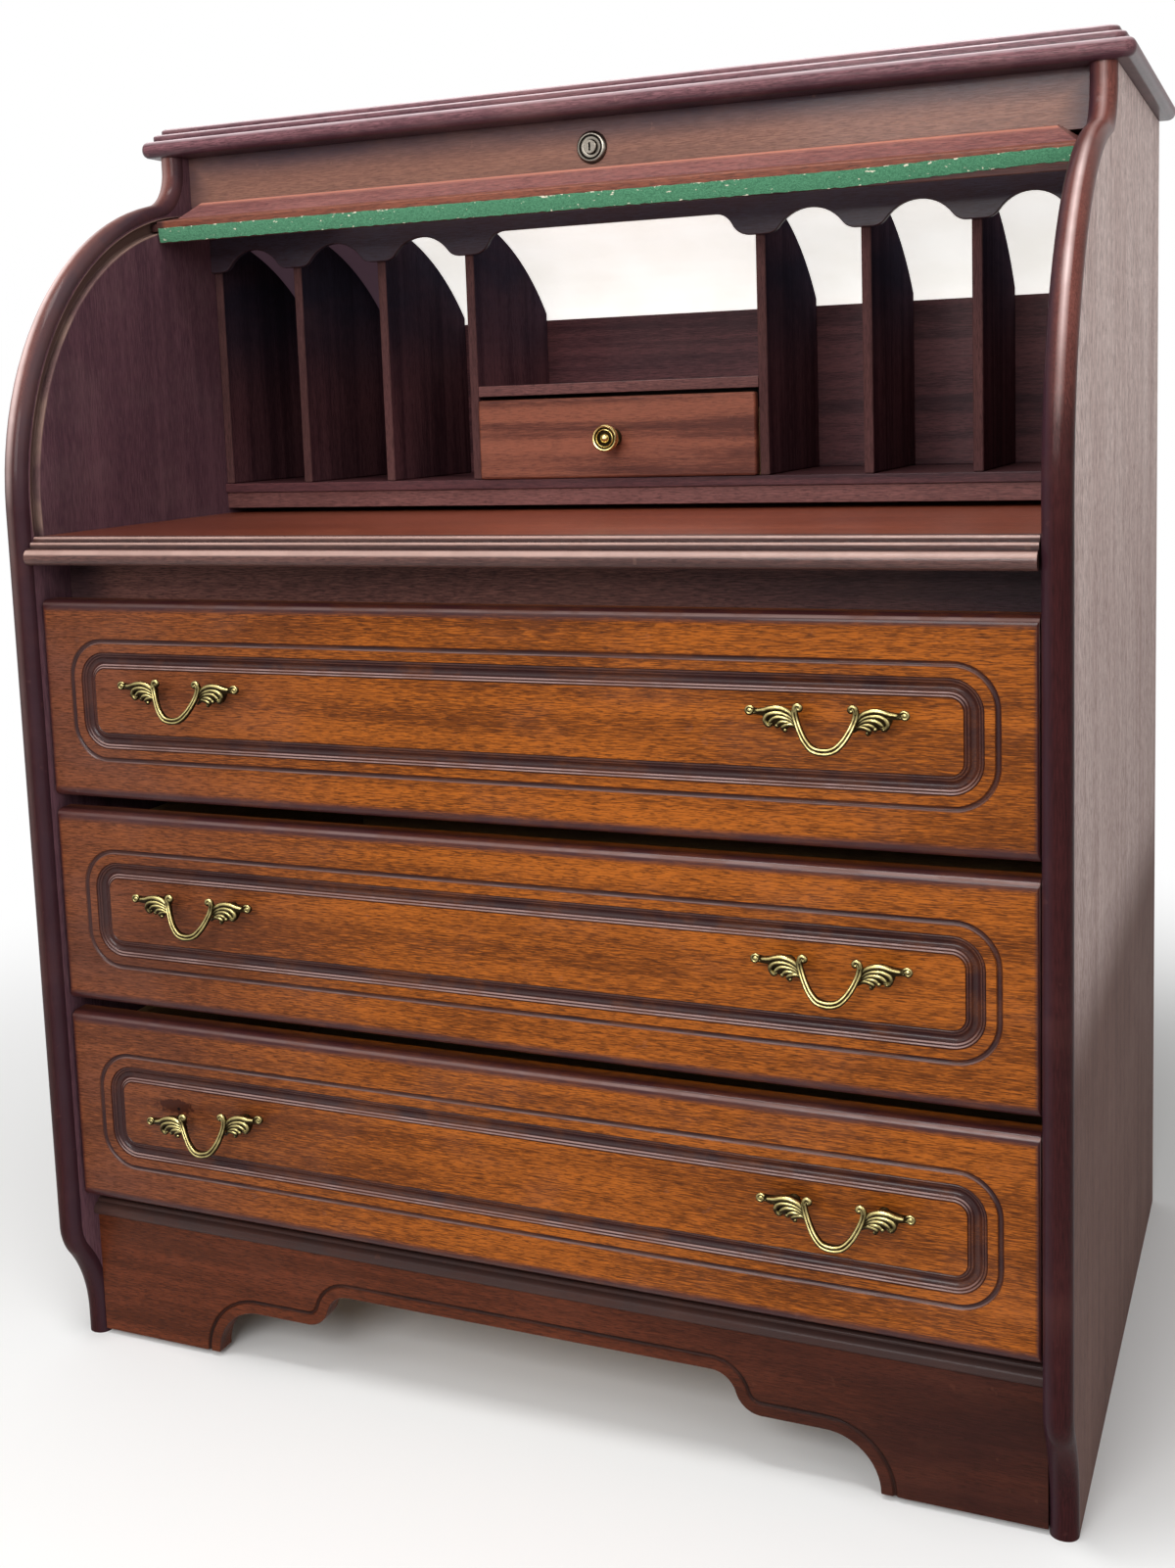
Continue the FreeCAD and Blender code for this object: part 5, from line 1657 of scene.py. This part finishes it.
@dataclass
class SwanNeckPull:
    """A cast pull: two scrolled leaves on posts and a reeded bail between them."""

    spread: float = 282
    rise: float = 12
    askew_drop: float = 7
    askew_tilt: float = 8
    post_spread: float = 35
    post_radius: float = 3.6
    post: tuple[Point, ...] = ((0, 1.5), (-1.2, 1.5), (-2.2, 1.0), (-9, 0.9), (-12.5, 1.1))
    leaf_depth: float = 13
    leaf_middle: Point = (36, 1)
    leaf_half: Point = (24, 13)
    leaf_swell: float = 2.4
    bail: tuple[Quad, ...] = (
        (0, -22.5, -22.4, 3.0), (8, -22.2, -20.6, 2.9), (14, -20.4, -15.0, 2.6), (18, -18.2, -8.6, 2.4),
        (20.6, -16.4, -3.0, 2.3), (22.2, -15.4, 1.6, 2.3), (22.6, -15.0, 5.6, 2.4), (21.2, -15.0, 9.0, 2.5))
    bail_steps: int = 6
    reed_side: float = 0.48
    reed_proud: float = 0.66
    reed_thick: float = 0.46
    curl: tuple[Point, ...] = (
        (22.4, 4.5), (22.8, 7.2), (22.0, 9.4), (20.0, 10.0), (18.4, 8.8), (18.5, 7.0), (19.9, 6.6))
    curl_depth: float = 16
    curl_radius: float = 1.9
    ribs: tuple[tuple[Point, ...], ...] = (
        ((22.2, -1.6), (25.3, 2.7), (29.5, 5.6), (35.7, 7.2), (41.9, 6.6), (46.5, 5.2), (52, 4.4)),
        ((22.2, -3.0), (27.4, 1.3), (33.6, 3.4), (39.8, 3.2), (44, 1.2), (45.5, -2.4),
         (43.4, -5.8), (41.0, -5.2)),
        ((23.3, -3.8), (28.4, -0.6), (33.6, 0.4), (37.7, -0.1), (41, -2.6), (41.6, -4.4)),
        ((24.3, -4.4), (29.5, -2.8), (33.6, -3.2), (36.2, -5.8)),
        ((19.6, -8.6), (24.3, -5.0), (28.4, -4.8), (32.1, -6.9), (30.8, -9)))
    rib_radius: float = 1.95
    first_rib: float = 1.15
    rib_ball: float = 2.0
    rib_swell: Solid = (0.55, 0.42, 0.2)
    neck: tuple[Point, ...] = ((51, 4.9), (52.6, 2.6), (54.4, 3.4))
    tip: Point = (57.4, 4.4)
    tip_ball: float = 3.6
    neck_thick: float = 1.5
    whirl_radius: Point = (3.4, 0.13)
    whirl_angle: Point = (2.6, 0.45)
    whirl_steps: int = 15
    whirl_proud: float = 0.9
    whirl_thick: float = 1.25
    plate: tuple[Point, ...] = (
        (22, -6.5), (22.4, -0.5), (26, 4.2), (31, 7.2), (37, 8.6), (43, 7.8), (48, 6.4), (53, 6.0),
        (57.4, 6.8), (59.6, 4.4), (57.4, 1.8), (53, 2.2), (48.6, 1.6), (47, -3), (44.6, -6.6), (40.6, -6.6),
        (37, -7.2), (33.6, -7), (31, -9.8), (27.4, -7))
    plate_rings: tuple[Point, ...] = ((0.96, -9.4), (1.0, -11), (0.97, -12.8), (0.6, -14.8), (0.25, -15.8))
    hollow: float = 0.75
    crease: float = 50

    def half(self, sign: int) -> list[list[Quad]]:
        """Lines of one leaf: its ribs, scroll and posts.

        Args:
            sign: -1 for the left half, 1 for the right one.

        Returns:
            Lines of x, y, z and radius about the middle of the pull.
        """
        lines = []
        for number, rib in enumerate(self.ribs):
            path = smooth_line([(sign * x, self.crown(x, z), z) for x, z in rib], 5)
            shares = [k / (len(path) - 1) for k in range(len(path))]
            full = self.rib_radius * (self.first_rib if number == 0 else 1.0)
            root, middle, end = self.rib_swell
            swell = [full * (root + middle * math.sin(math.pi * t ** 0.8) + end * t) for t in shares]
            lines.append([(*p, r) for p, r in zip(path, swell)])
            if number > 1:
                lines.append(self.ball(path[-1], self.rib_ball))
        tip_x, tip_z = self.tip
        lines.append(self.ball((sign * tip_x, 0.8 - self.leaf_depth, tip_z), self.tip_ball))
        (radius, drawn_in), (angle, turned) = self.whirl_radius, self.whirl_angle
        whirl = [(radius - drawn_in * k, angle - turned * k) for k in range(self.whirl_steps)]
        depth = -self.leaf_depth - self.whirl_proud
        lines.append([(sign * (tip_x + r * math.cos(a)), depth, tip_z + r * math.sin(a), self.whirl_thick)
                      for r, a in whirl])
        lines.append([(sign * x, 0.6 - self.leaf_depth, z, self.neck_thick) for x, z in self.neck])
        curl = smooth_line([(sign * x, -self.curl_depth, z) for x, z in self.curl], 4)
        lines.append([(*p, self.curl_radius) for p in curl])
        lines.append([(sign * self.post_spread, y, 0, self.post_radius * wide) for y, wide in self.post])
        return lines

    def crown(self, x: float, z: float) -> float:
        """How far forwards the leaf's back swells at a place."""
        across = sum(((c - m) / h) ** 2 for c, m, h in zip((x, z), self.leaf_middle, self.leaf_half))
        return -self.leaf_depth - self.leaf_swell * max(1 - across, 0)

    def ball(self, end: Solid, radius: float) -> list[Quad]:
        """A small ball on the end of a rib."""
        x, y, z = end
        turns = [math.pi * k / 6 for k in range(7)]
        return [(x, y - radius * math.cos(a) * 0.8, z, max(radius * math.sin(a), 0.05)) for a in turns]

    def bail_lines(self) -> list[list[Quad]]:
        """The bail first, then the two reeds along its front."""
        whole = [(-x, *rest) for x, *rest in self.bail[:0:-1]] + list(self.bail)
        steps, widths = self.bail_steps, [r for *_, r in whole]
        main = []
        for k, place in enumerate(smooth_line([p[:3] for p in whole], steps)):
            here, after = (widths[min(k // steps + n, len(widths) - 1)] for n in (0, 1))
            part = k % steps / steps
            main.append((*place, here * (1 - part) + after * part))
        proud, thick = self.reed_proud, self.reed_thick
        reeds = [[(x + side * r * way.x, y - r * proud, z + side * r * way.y, r * thick)
                  for (x, y, z, r), way in zip(main, self.across(main))]
                 for side in (-self.reed_side, self.reed_side)]
        return [main, *reeds]

    def across(self, line: Sequence[Quad]) -> list[Vector]:
        """At each point of a line, the way across it as seen from the front."""
        steps = zip([line[0], *line], [*line[1:], line[-1]])
        return [Vector((a[2] - b[2], b[0] - a[0])).normalized() for a, b in steps]

    def backing(self, shape: Shape, sign: int, seat: Matrix) -> None:
        """The thin shaped plate that joins the ribs.

        Args:
            shape: Takes the points.
            sign: 1 for the right half of a pull, -1 for the left.
            seat: Sets the pull on its drawer.
        """
        mid_x, mid_z = self.leaf_middle
        rings = []
        for share, depth in self.plate_rings:
            ring = [(sign * (mid_x + (x - mid_x) * share), depth, mid_z + (z - mid_z) * share)
                    for x, z in self.plate]
            rings.append(shape.line([tuple(seat @ Vector(p)) for p in ring], self.hollow))
        shape.loft(rings)

    def build(self, sweeper: RibSweeper, number: int) -> None:
        """Both pulls of one drawer as one piece.

        Args:
            sweeper: The rib sweeper.
            number: Number of the drawer; the left pull of the lowest hangs askew.
        """
        face, height = FRONT + DRAWER_SETBACK, drawer_middle(number) + self.rise
        plates = Shape()
        ribs, cores = [], []
        for side in (-1, 1):
            askew = number == DRAWER_COUNT and side == -1
            seat = Matrix.Translation((self.spread * side, face, height - self.askew_drop * askew))
            seat = seat @ Matrix.Rotation(math.radians(-self.askew_tilt * askew), 4, "Y")
            core, *reeds = self.bail_lines()
            for local, lines in ((self.half(-1) + self.half(1) + reeds, ribs), ([core], cores)):
                lines += [[(*(seat @ Vector(p[:3])), p[3]) for p in line] for line in local]
            for sign in (-1, 1):
                self.backing(plates, sign, seat)
        piece = add_object(f"drawer_{number}_pulls_cast", plates.mesh("pull_plates"))
        with worked(piece.data) as work:
            for mesh in (sweeper.sweep(ribs, PULL_BRASS), sweeper.sweep(cores, PULL_BRASS, self.hollow)):
                work.from_mesh(mesh)
        piece.data.shade_smooth()
        piece.data.set_sharp_from_angle(angle=math.radians(self.crease))
        # Painted shade on the faces of the pulls that look down or backwards.
        paint_facing_shade(piece.data)
        hand_over(piece, PULL_BRASS, [f"drawer_{number}_pulls"])


@dataclass
class LongDrawers:
    """The long drawers with fronts, boxes and pulls."""

    box: tuple[tuple[str, Finish, float], ...] = (
        ("sides", BOX_WOOD, 1.2), ("back", BOX_CROSS, 0.9), ("bottom", BOX_CROSS, 0.5))

    def build(self) -> None:
        """Build the drawers from the top down."""
        sweeper = RibSweeper()
        for number in range(1, DRAWER_COUNT + 1):
            DrawerFront(number).build()
            SwanNeckPull().build(sweeper, number)
            for board, finish, ease in self.box:
                ease_edges(f"drawer_{number}_{board}", finish, ease)


# Pigeonholes


@dataclass
class Pigeonholes:
    """The pigeonhole unit with its scalloped valance."""

    face: float = FRONT + 311
    valance_thick: float = 6
    valance_rings: tuple[Solid, ...] = (
        (0.9, 0, 0.5), (0.3, 0.3, 0.8), (0, 0.9, 0.6), (0, 5.4, 0.2), (0.6, 6, 0))
    partitions: int = 8
    partition_ease: float = 1.6
    top: float = 1029.98
    foot: float = 995.98
    rise: float = 20
    swell: float = 14
    shoulder: float = 32
    pendant_half: float = 8
    bays: tuple[float, ...] = (144.5, 240, 335.5, 428.5)

    def scallops(self) -> list[Point]:
        """Outline of the valance, anticlockwise seen from the front."""
        run = [Corner(INNER_HALF, self.foot)]
        for right, left in zip(self.bays[:0:-1], self.bays[-2::-1]):
            start, end = right - self.pendant_half, left + self.pendant_half
            half = (start - end) / 2
            arch = (half ** 2 + self.rise ** 2) / (2 * self.rise)
            share = self.swell / arch
            height = self.foot + self.rise * share
            run += [Corner(start, self.foot), Corner(start - half * share, height, self.swell, False),
                    Corner(end + half * share, height, arch - self.swell),
                    Corner(end, self.foot, self.swell, False)]
        swing = (self.shoulder ** 2 + self.rise ** 2) / (4 * self.rise)
        start = self.bays[0] - self.pendant_half
        run += [Corner(start, self.foot),
                Corner(start - self.shoulder / 2, self.foot + self.rise / 2, swing, False),
                Corner(start - self.shoulder, self.foot + self.rise, swing)]
        return trace(across_middle(run) + [Corner(-INNER_HALF, self.top), Corner(INNER_HALF, self.top)], 8.0)

    def valance(self) -> None:
        """The sawn strip with its edges rounded over."""
        shape = Shape()
        outline = self.scallops()[::-1]
        front = self.face - self.valance_thick
        rings = []
        for inset, depth, edge in self.valance_rings:
            drawn = shrink(outline, inset) if inset else outline
            rings.append(shape.line([(x, front + depth, z) for x, z in drawn], edge=edge))
        shape.loft(rings)
        set_piece("valance_scalloped", shape, VALANCE_WOOD, "valance")

    def build(self) -> None:
        """All boards of the unit."""
        boards = {"pigeon_base": INNER_WOOD, "pigeon_riser": RISER_WOOD, "pigeon_back": INNER_WOOD,
                  "shelf": RISER_WOOD}
        for node, finish in boards.items():
            ease_edges(node, finish)
        for number in range(1, self.partitions + 1):
            ease_edges(f"partition_{number}", INNER_UPRIGHT, self.partition_ease, steps=3)
        self.valance()


@dataclass
class SmallDrawer:
    """The small drawer of the centre bay."""

    knob_centre: Solid = (0.0, FRONT + 305, 820.3)
    knob: tuple[Solid, ...] = (
        (0.3, 24, 0), (1.3, 23.7, 0), (2.8, 22.6, 0), (4.0, 21.2, 0.1), (4.6, 20.2, 0.7), (5.1, 19.0, 1),
        (6.7, 18.9, 1), (7.1, 20.0, 0.8), (7.4, 21.2, 0.1), (7.9, 21.6, 0), (8.4, 21.3, 0.1),
        (8.8, 20.3, 0.9), (9.5, 20.0, 1), (9.9, 20.6, 0.6), (10.3, 21.4, 0), (11.1, 21.7, 0),
        (11.9, 21.0, 0), (12.4, 19.6, 0), (12.5, 18.2, 0), (12.2, 16.6, 0.1), (11.2, 15.0, 0.2),
        (9.0, 13.4, 0.4), (6.6, 11.6, 0.5), (5.3, 9.4, 0.5), (5.0, 7.2, 0.5), (5.2, 5.2, 0.5),
        (5.9, 3.8, 0.4), (7.2, 3.0, 0.3), (8.4, 2.7, 0.2), (9.0, 2.0, 0.2), (9.0, 0.5, 0.6), (8.8, 0.0, 0.8))
    boards: tuple[tuple[str, Finish, float, int], ...] = (
        ("front", SMALL_WOOD, 2.6, 4), ("sides", BOX_WOOD, 0.6, 2), ("back", BOX_CROSS, 0.6, 2),
        ("bottom", BOX_CROSS, 0.4, 2))

    def build(self) -> None:
        """Front, box and turned knob."""
        for board, finish, ease, steps in self.boards:
            ease_edges(f"small_drawer_{board}", finish, ease, steps)
        set_piece("small_drawer_knob_turned", turn_on_lathe(self.knob, self.knob_centre), KNOB_BRASS,
                  "small_drawer_knob")


# Roll


def opened(point: Solid) -> Solid:
    """Carry a point from the closed roll, about the track's centre, to its open place."""
    turned = Matrix.Rotation(-OPEN_ANGLE, 3, "X") @ Vector(point)
    return (turned.x, TRACK_DEEP + turned.y, TRACK_HEIGHT + turned.z)


@dataclass
class Roll:
    """The roll: leading rail with its pull strip and felt, slats on canvas, tail rail."""

    slat_count: int = 20
    slat_pitch: float = math.radians(4)
    slat_first: float = math.radians(3.5)
    slat_half: float = 439
    slat_inner: float = 261
    slat_shoulder: float = 267.5
    slat_outer: float = 271.4
    slat_spread: float = math.radians(1.94)
    canvas_half: float = 430
    canvas_thick: float = 0.8
    canvas_dip: float = 0.25
    canvas_gap: float = 0.02
    canvas_steps: int = 4
    canvas_columns: int = 24
    felt_half: float = 430
    felt_front: float = -265.4
    felt_rear: float = -250.4
    felt_low: float = -23.5
    felt_high: float = -22.0
    felt_columns: int = 170
    felt_rows: int = 6
    felt_trim: float = 0.8
    felt_worn: float = 6.0
    felt_worn_run: Point = (250, 400)
    felt_lost: Point = (2.4, 105)
    strip_half: float = 426
    strip_end: float = 17.5
    strip: tuple[Solid, ...] = (
        (-271, 6.45, 0), (-272, 7.87, 0), (-279.6, 18.6, 0), (-281.2, 20.9, 0.3), (-282.2, 22.4, 1),
        (-282.8, 23.6, 1), (-283, 25, 1), (-283, 27.5, 0.2), (-283, 38.45, 0), (-271, 38.45, 0))

    def slat(self) -> Shape:
        """One crowned slat at the top of the roll, about the track's centre."""
        shape = Shape()
        foot, shoulder = (r * math.tan(self.slat_spread) for r in (self.slat_inner, self.slat_shoulder))
        crown = self.slat_outer - self.slat_shoulder
        section = [(-foot, self.slat_inner), (foot, self.slat_inner), (shoulder, self.slat_shoulder)]
        for k in range(1, 8):
            t = 1 - 2 * k / 8
            section.append((shoulder * t, self.slat_shoulder + crown * (1 - t * t)))
        section.append((-shoulder, self.slat_shoulder))
        shape.loft([shape.line([(x, y, z) for y, z in section]) for x in (-self.slat_half, self.slat_half)])
        return shape

    def place_slats(self, bench: Bench, given: Values) -> Socket:
        """Lay the nodes that set a slat round the track as often as asked.

        Args:
            bench: The tree's bench.
            given: The tree's inputs.

        Returns:
            The geometry.
        """
        places = bench.put("GeometryNodeMeshLine", {
            "Count": given["Count"], "Start Location": given["Centre"], "Offset": (0, 0, 0)})
        number = Value(bench, bench.put("GeometryNodeInputIndex").outputs["Index"])
        spin = bench.put("FunctionNodeAxisAngleToRotation",
                         {"Axis": (1, 0, 0), "Angle": number * given["Pitch"] + given["First"]})
        copies = bench.put("GeometryNodeInstanceOnPoints",
                           {"Points": places.outputs["Mesh"], "Instance": given["Geometry"],
                            "Rotation": spin.outputs["Rotation"]})
        return copies.outputs["Instances"]

    def slats(self) -> None:
        """All slats, in their open place."""
        asked = {"Count": "Int", "Pitch": "Float", "First": "Float", "Centre": "Vector"}
        rig = Rig("slats_round_track", asked, self.place_slats)
        piece = rig.fit(add_object("roll_slats_crowned", self.slat().mesh("slat")), {
            "Count": self.slat_count, "Pitch": self.slat_pitch, "First": self.slat_first - OPEN_ANGLE,
            "Centre": (0.0, TRACK_DEEP * MM, TRACK_HEIGHT * MM), "Finish": ROLL_WOOD.material})
        hand_over(even_shading(settle(piece)), ROLL_WOOD, ["roll_slats"])

    def canvas(self) -> None:
        """The canvas inside the slats, drawn in a little at each joint."""
        shape = Shape()
        start = self.slat_first - self.slat_pitch / 2
        columns = self.canvas_columns
        places = [self.canvas_half * (2 * c / columns - 1) for c in range(columns + 1)]
        layers = []
        for inner in (False, True):
            layers.append([])
            for k in range(self.slat_count * self.canvas_steps + 1):
                angle = start + self.slat_pitch * k / self.canvas_steps
                dip = self.canvas_dip * abs(math.sin(math.pi * k / self.canvas_steps))
                radius = self.slat_inner - (self.canvas_thick - dip if inner else self.canvas_gap)
                y, z = -radius * math.sin(angle), radius * math.cos(angle)
                layers[-1].append(shape.line([opened((x, y, z)) for x in places]))
        shape.sheet(*layers)
        piece = add_object("roll_canvas_cloth", shape.mesh("roll_canvas_cloth"))
        self.lay_out(piece)
        hand_over(even_shading(piece), CANVAS, ["roll_canvas"])

    def lay_out(self, piece: Object) -> None:
        """Give the canvas a map of its own width and length, in metres."""
        layer = piece.data.uv_layers.new(name="cloth")
        for loop in piece.data.loops:
            place = piece.data.vertices[loop.vertex_index].co
            deep, high = place.y - TRACK_DEEP * MM, place.z - TRACK_HEIGHT * MM
            layer.data[loop.index].uv = (place.x, math.atan2(deep, high) * self.slat_inner * MM)

    def felt_edges(self, column: int, x: float) -> Point:
        """Edges of the felt, frayed, and drawn in at the right.

        Args:
            column: Number of the column.
            x: Its place.

        Returns:
            The front and the rear edge there.
        """
        fray = 0.55 * math.sin(column * 1.7) * math.sin(column * 0.61 + 1) + 0.3 * math.sin(column * 4.3)
        worn = self.felt_worn * share_of(x, *self.felt_worn_run)
        front = self.felt_front + self.felt_trim + 0.5 * fray - 0.6 * worn
        rear = self.felt_rear - self.felt_trim - worn + 0.5 * math.sin(column * 2.3) * math.sin(column * 0.37)
        return front, rear

    def felt(self) -> None:
        """The felt under the leading rail, frayed along its edges and narrowed by wear at the right."""
        shape = Shape()
        layers = []
        for lower in (False, True):
            layers.append([])
            for c in range(self.felt_columns + 1):
                x = self.felt_half * (2 * c / self.felt_columns - 1)
                front, rear = self.felt_edges(c, x)
                line = []
                for r in range(self.felt_rows + 1):
                    t = r / self.felt_rows
                    rim = 0.35 * (abs(2 * t - 1) ** 4)
                    wave = 0.12 * math.sin(c * 0.9 + r) * math.sin(r * 2.1)
                    z = self.felt_low + rim + 0.12 + wave * 0.8 if lower else self.felt_high
                    line.append(opened((x, front + (rear - front) * t, z)))
                layers[-1].append(shape.line(line))
                for end in (0, -1):
                    shape.marks["edge"][layers[-1][-1][end]] = 1.0
        shape.sheet(*layers)
        piece = set_piece("roll_felt_cloth", shape, FELT, "roll_felt")

    def pull_strip(self) -> None:
        """The bevelled strip on the leading rail, its crest pale with wear."""
        shape = Shape()
        lines = []
        back, front = self.strip[0][0], self.strip[-2][0]
        for y, z, edge in self.strip:
            half = self.strip_half - self.strip_end * (back - y) / (back - front)
            lines.append(shape.line([opened((-half, y, z)), opened((half, y, z))], edge=edge))
        shape.moulding(lines)
        set_piece("roll_pull_bevelled", shape, STRIP_WOOD, "roll_pull")

    def build(self) -> None:
        """All pieces of the roll."""
        ease_edges("roll_rail", RAIL_WOOD, width=1.4, steps=3)
        self.pull_strip()
        ease_edges("roll_tail", ROLL_WOOD, width=0.9)
        self.felt()
        self.slats()
        self.canvas()


@dataclass
class Lock:
    """The cam lock of the fascia."""

    centre: Solid = (0.0, -28.96, 1080.0)
    bezel: tuple[Solid, ...] = (
        (6.1, 0, 1), (6.1, 2.8, 1), (6.6, 3.5, 0.5), (7.4, 3.7, 0), (9.0, 3.7, 0), (9.5, 3.2, 0.8),
        (9.9, 2.6, 1), (10.4, 2.6, 1), (10.8, 3.5, 0.5), (11.2, 4, 0), (12.2, 4, 0), (13.2, 3.4, 0),
        (14.1, 2.2, 0), (14.5, 1, 0.1), (14.5, 0, 0.4))

    def build(self) -> None:
        """Bezel, body, plug and cam."""
        bezel = turn_on_lathe(self.bezel, self.centre, bored=True)
        set_piece("lock_bezel_turned", bezel, LOCK_METAL, "lock_bezel")
        ease_edges("lock_body", LOCK_METAL, width=0.3)
        ease_edges("lock_plug", LOCK_METAL, width=0.35, steps=3)
        ease_edges("lock_cam", LOCK_METAL, width=0.4)


# Studio


@dataclass
class Studio:
    """Pale floor, soft light and the camera."""

    floor_tone: Colour = (244, 244, 243)
    eye: Solid = (0.61364, -1.51291, 0.85359)
    gaze: Solid = (1.446787, 0.033947, 0.398752)
    lens: float = 40.117
    shift: Point = (-0.000863, -0.104532)
    floor_lines: tuple[float, ...] = (-9000, -2000, 0, 2000, 9000)
    floor_fade: Point = (0.7, 1.7)
    sky: float = 0.4
    lamps: tuple[tuple[str, Solid, Solid, Point, float], ...] = (
        ("key_lamp", (-1.6, -2.6, 2.9), (0, 0, 0.6), (1.8, 1.8), 16),
        ("fill_lamp", (2.4, -1.6, 2.0), (0, 0, 0.6), (2.2, 2.2), 13),
        ("front_lamp", (0.1, -2.7, 1.75), (0, 0, 0.8), (1.4, 1.1), 46),
        ("top_lamp", (-0.2, -0.85, 2.9), (0, -0.1, 0.8), (1.3, 0.55), 30))

    def floor(self) -> None:
        """A wide pale floor that turns to plain white away from the desk."""
        shape = Shape()
        lines = self.floor_lines
        shape.skin([shape.line([(x, y, 0.0) for x in lines]) for y in lines], closed=False)
        piece = add_object("floor", shape.mesh("floor"))
        material = bpy.data.materials.new("pale_floor")
        bench = clear_bench(material)
        matt = bench.put("ShaderNodeBsdfDiffuse", {"Color": tint(self.floor_tone)})
        white = bench.put("ShaderNodeEmission", {"Color": (1, 1, 1, 1), "Strength": 1.0})
        parts = bench.axes()
        far = bench.distance(parts["X"], parts["Y"]).span(*self.floor_fade)
        mixed = bench.put("ShaderNodeMixShader", {0: far * self.seen(bench), 1: matt.outputs["BSDF"],
                                                  2: white.outputs["Emission"]})
        bench.put("ShaderNodeOutputMaterial", {"Surface": mixed.outputs["Shader"]})
        piece.data.materials.append(material)

    def seen(self, bench: Bench) -> Value:
        """1 for what the camera sees, straight or in a reflection."""
        path = bench.values(bench.put("ShaderNodeLightPath"))
        return path["Is Camera Ray"].most(path["Is Glossy Ray"].most(path["Is Transmission Ray"]))

    def world(self) -> None:
        """White surroundings with a softer light."""
        world = bpy.data.worlds.new("studio")
        bpy.context.scene.world = world
        bench = clear_bench(world)
        strength = self.seen(bench).span(0, 1, self.sky, 1.0)
        light = bench.put("ShaderNodeBackground", {"Color": (1, 1, 1, 1), "Strength": strength})
        bench.put("ShaderNodeOutputWorld", {"Surface": light.outputs["Background"]})

    def lamp(self, name: str, place: Solid, aim: Solid, size: Point, watts: float) -> None:
        """A soft lamp turned to a place.

        Args:
            name: Name of the lamp.
            place: Where it hangs.
            aim: What it is turned to.
            size: Its width and depth in metres.
            watts: Its power.
        """
        data = bpy.data.lights.new(name, "AREA")
        data.shape = "RECTANGLE"
        data.size, data.size_y = size
        data.energy = watts
        lamp = add_object(name, data)
        lamp.location = place
        lamp.rotation_euler = (Vector(aim) - Vector(place)).to_track_quat("-Z", "Y").to_euler()

    def camera(self) -> None:
        """The camera where the photograph was taken."""
        data = bpy.data.cameras.new("camera")
        data.sensor_fit = "VERTICAL"
        data.sensor_height = 36
        data.lens = self.lens
        data.shift_x, data.shift_y = self.shift
        camera = add_object("camera", data)
        camera.location = self.eye
        camera.rotation_euler = self.gaze
        bpy.context.scene.camera = camera

    def build(self) -> None:
        """Everything round the desk."""
        self.floor()
        self.world()
        for lamp in self.lamps:
            self.lamp(*lamp)
        self.camera()
        bpy.context.scene.view_settings.view_transform = "Standard"


def main() -> None:
    """Build the desk piece by piece, then the studio."""
    logging.basicConfig(level=logging.INFO, format="%(message)s")
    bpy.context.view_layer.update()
    for part in (Sides(), TopBoard(), Plinth(), FixedBoards(), WritingSlide(), LongDrawers(), Pigeonholes(),
                 SmallDrawer(), Roll(), Lock(), Studio()):
        log.info("-- %s", type(part).__name__)
        part.build()
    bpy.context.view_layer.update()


if __name__ == "__main__":
    main()
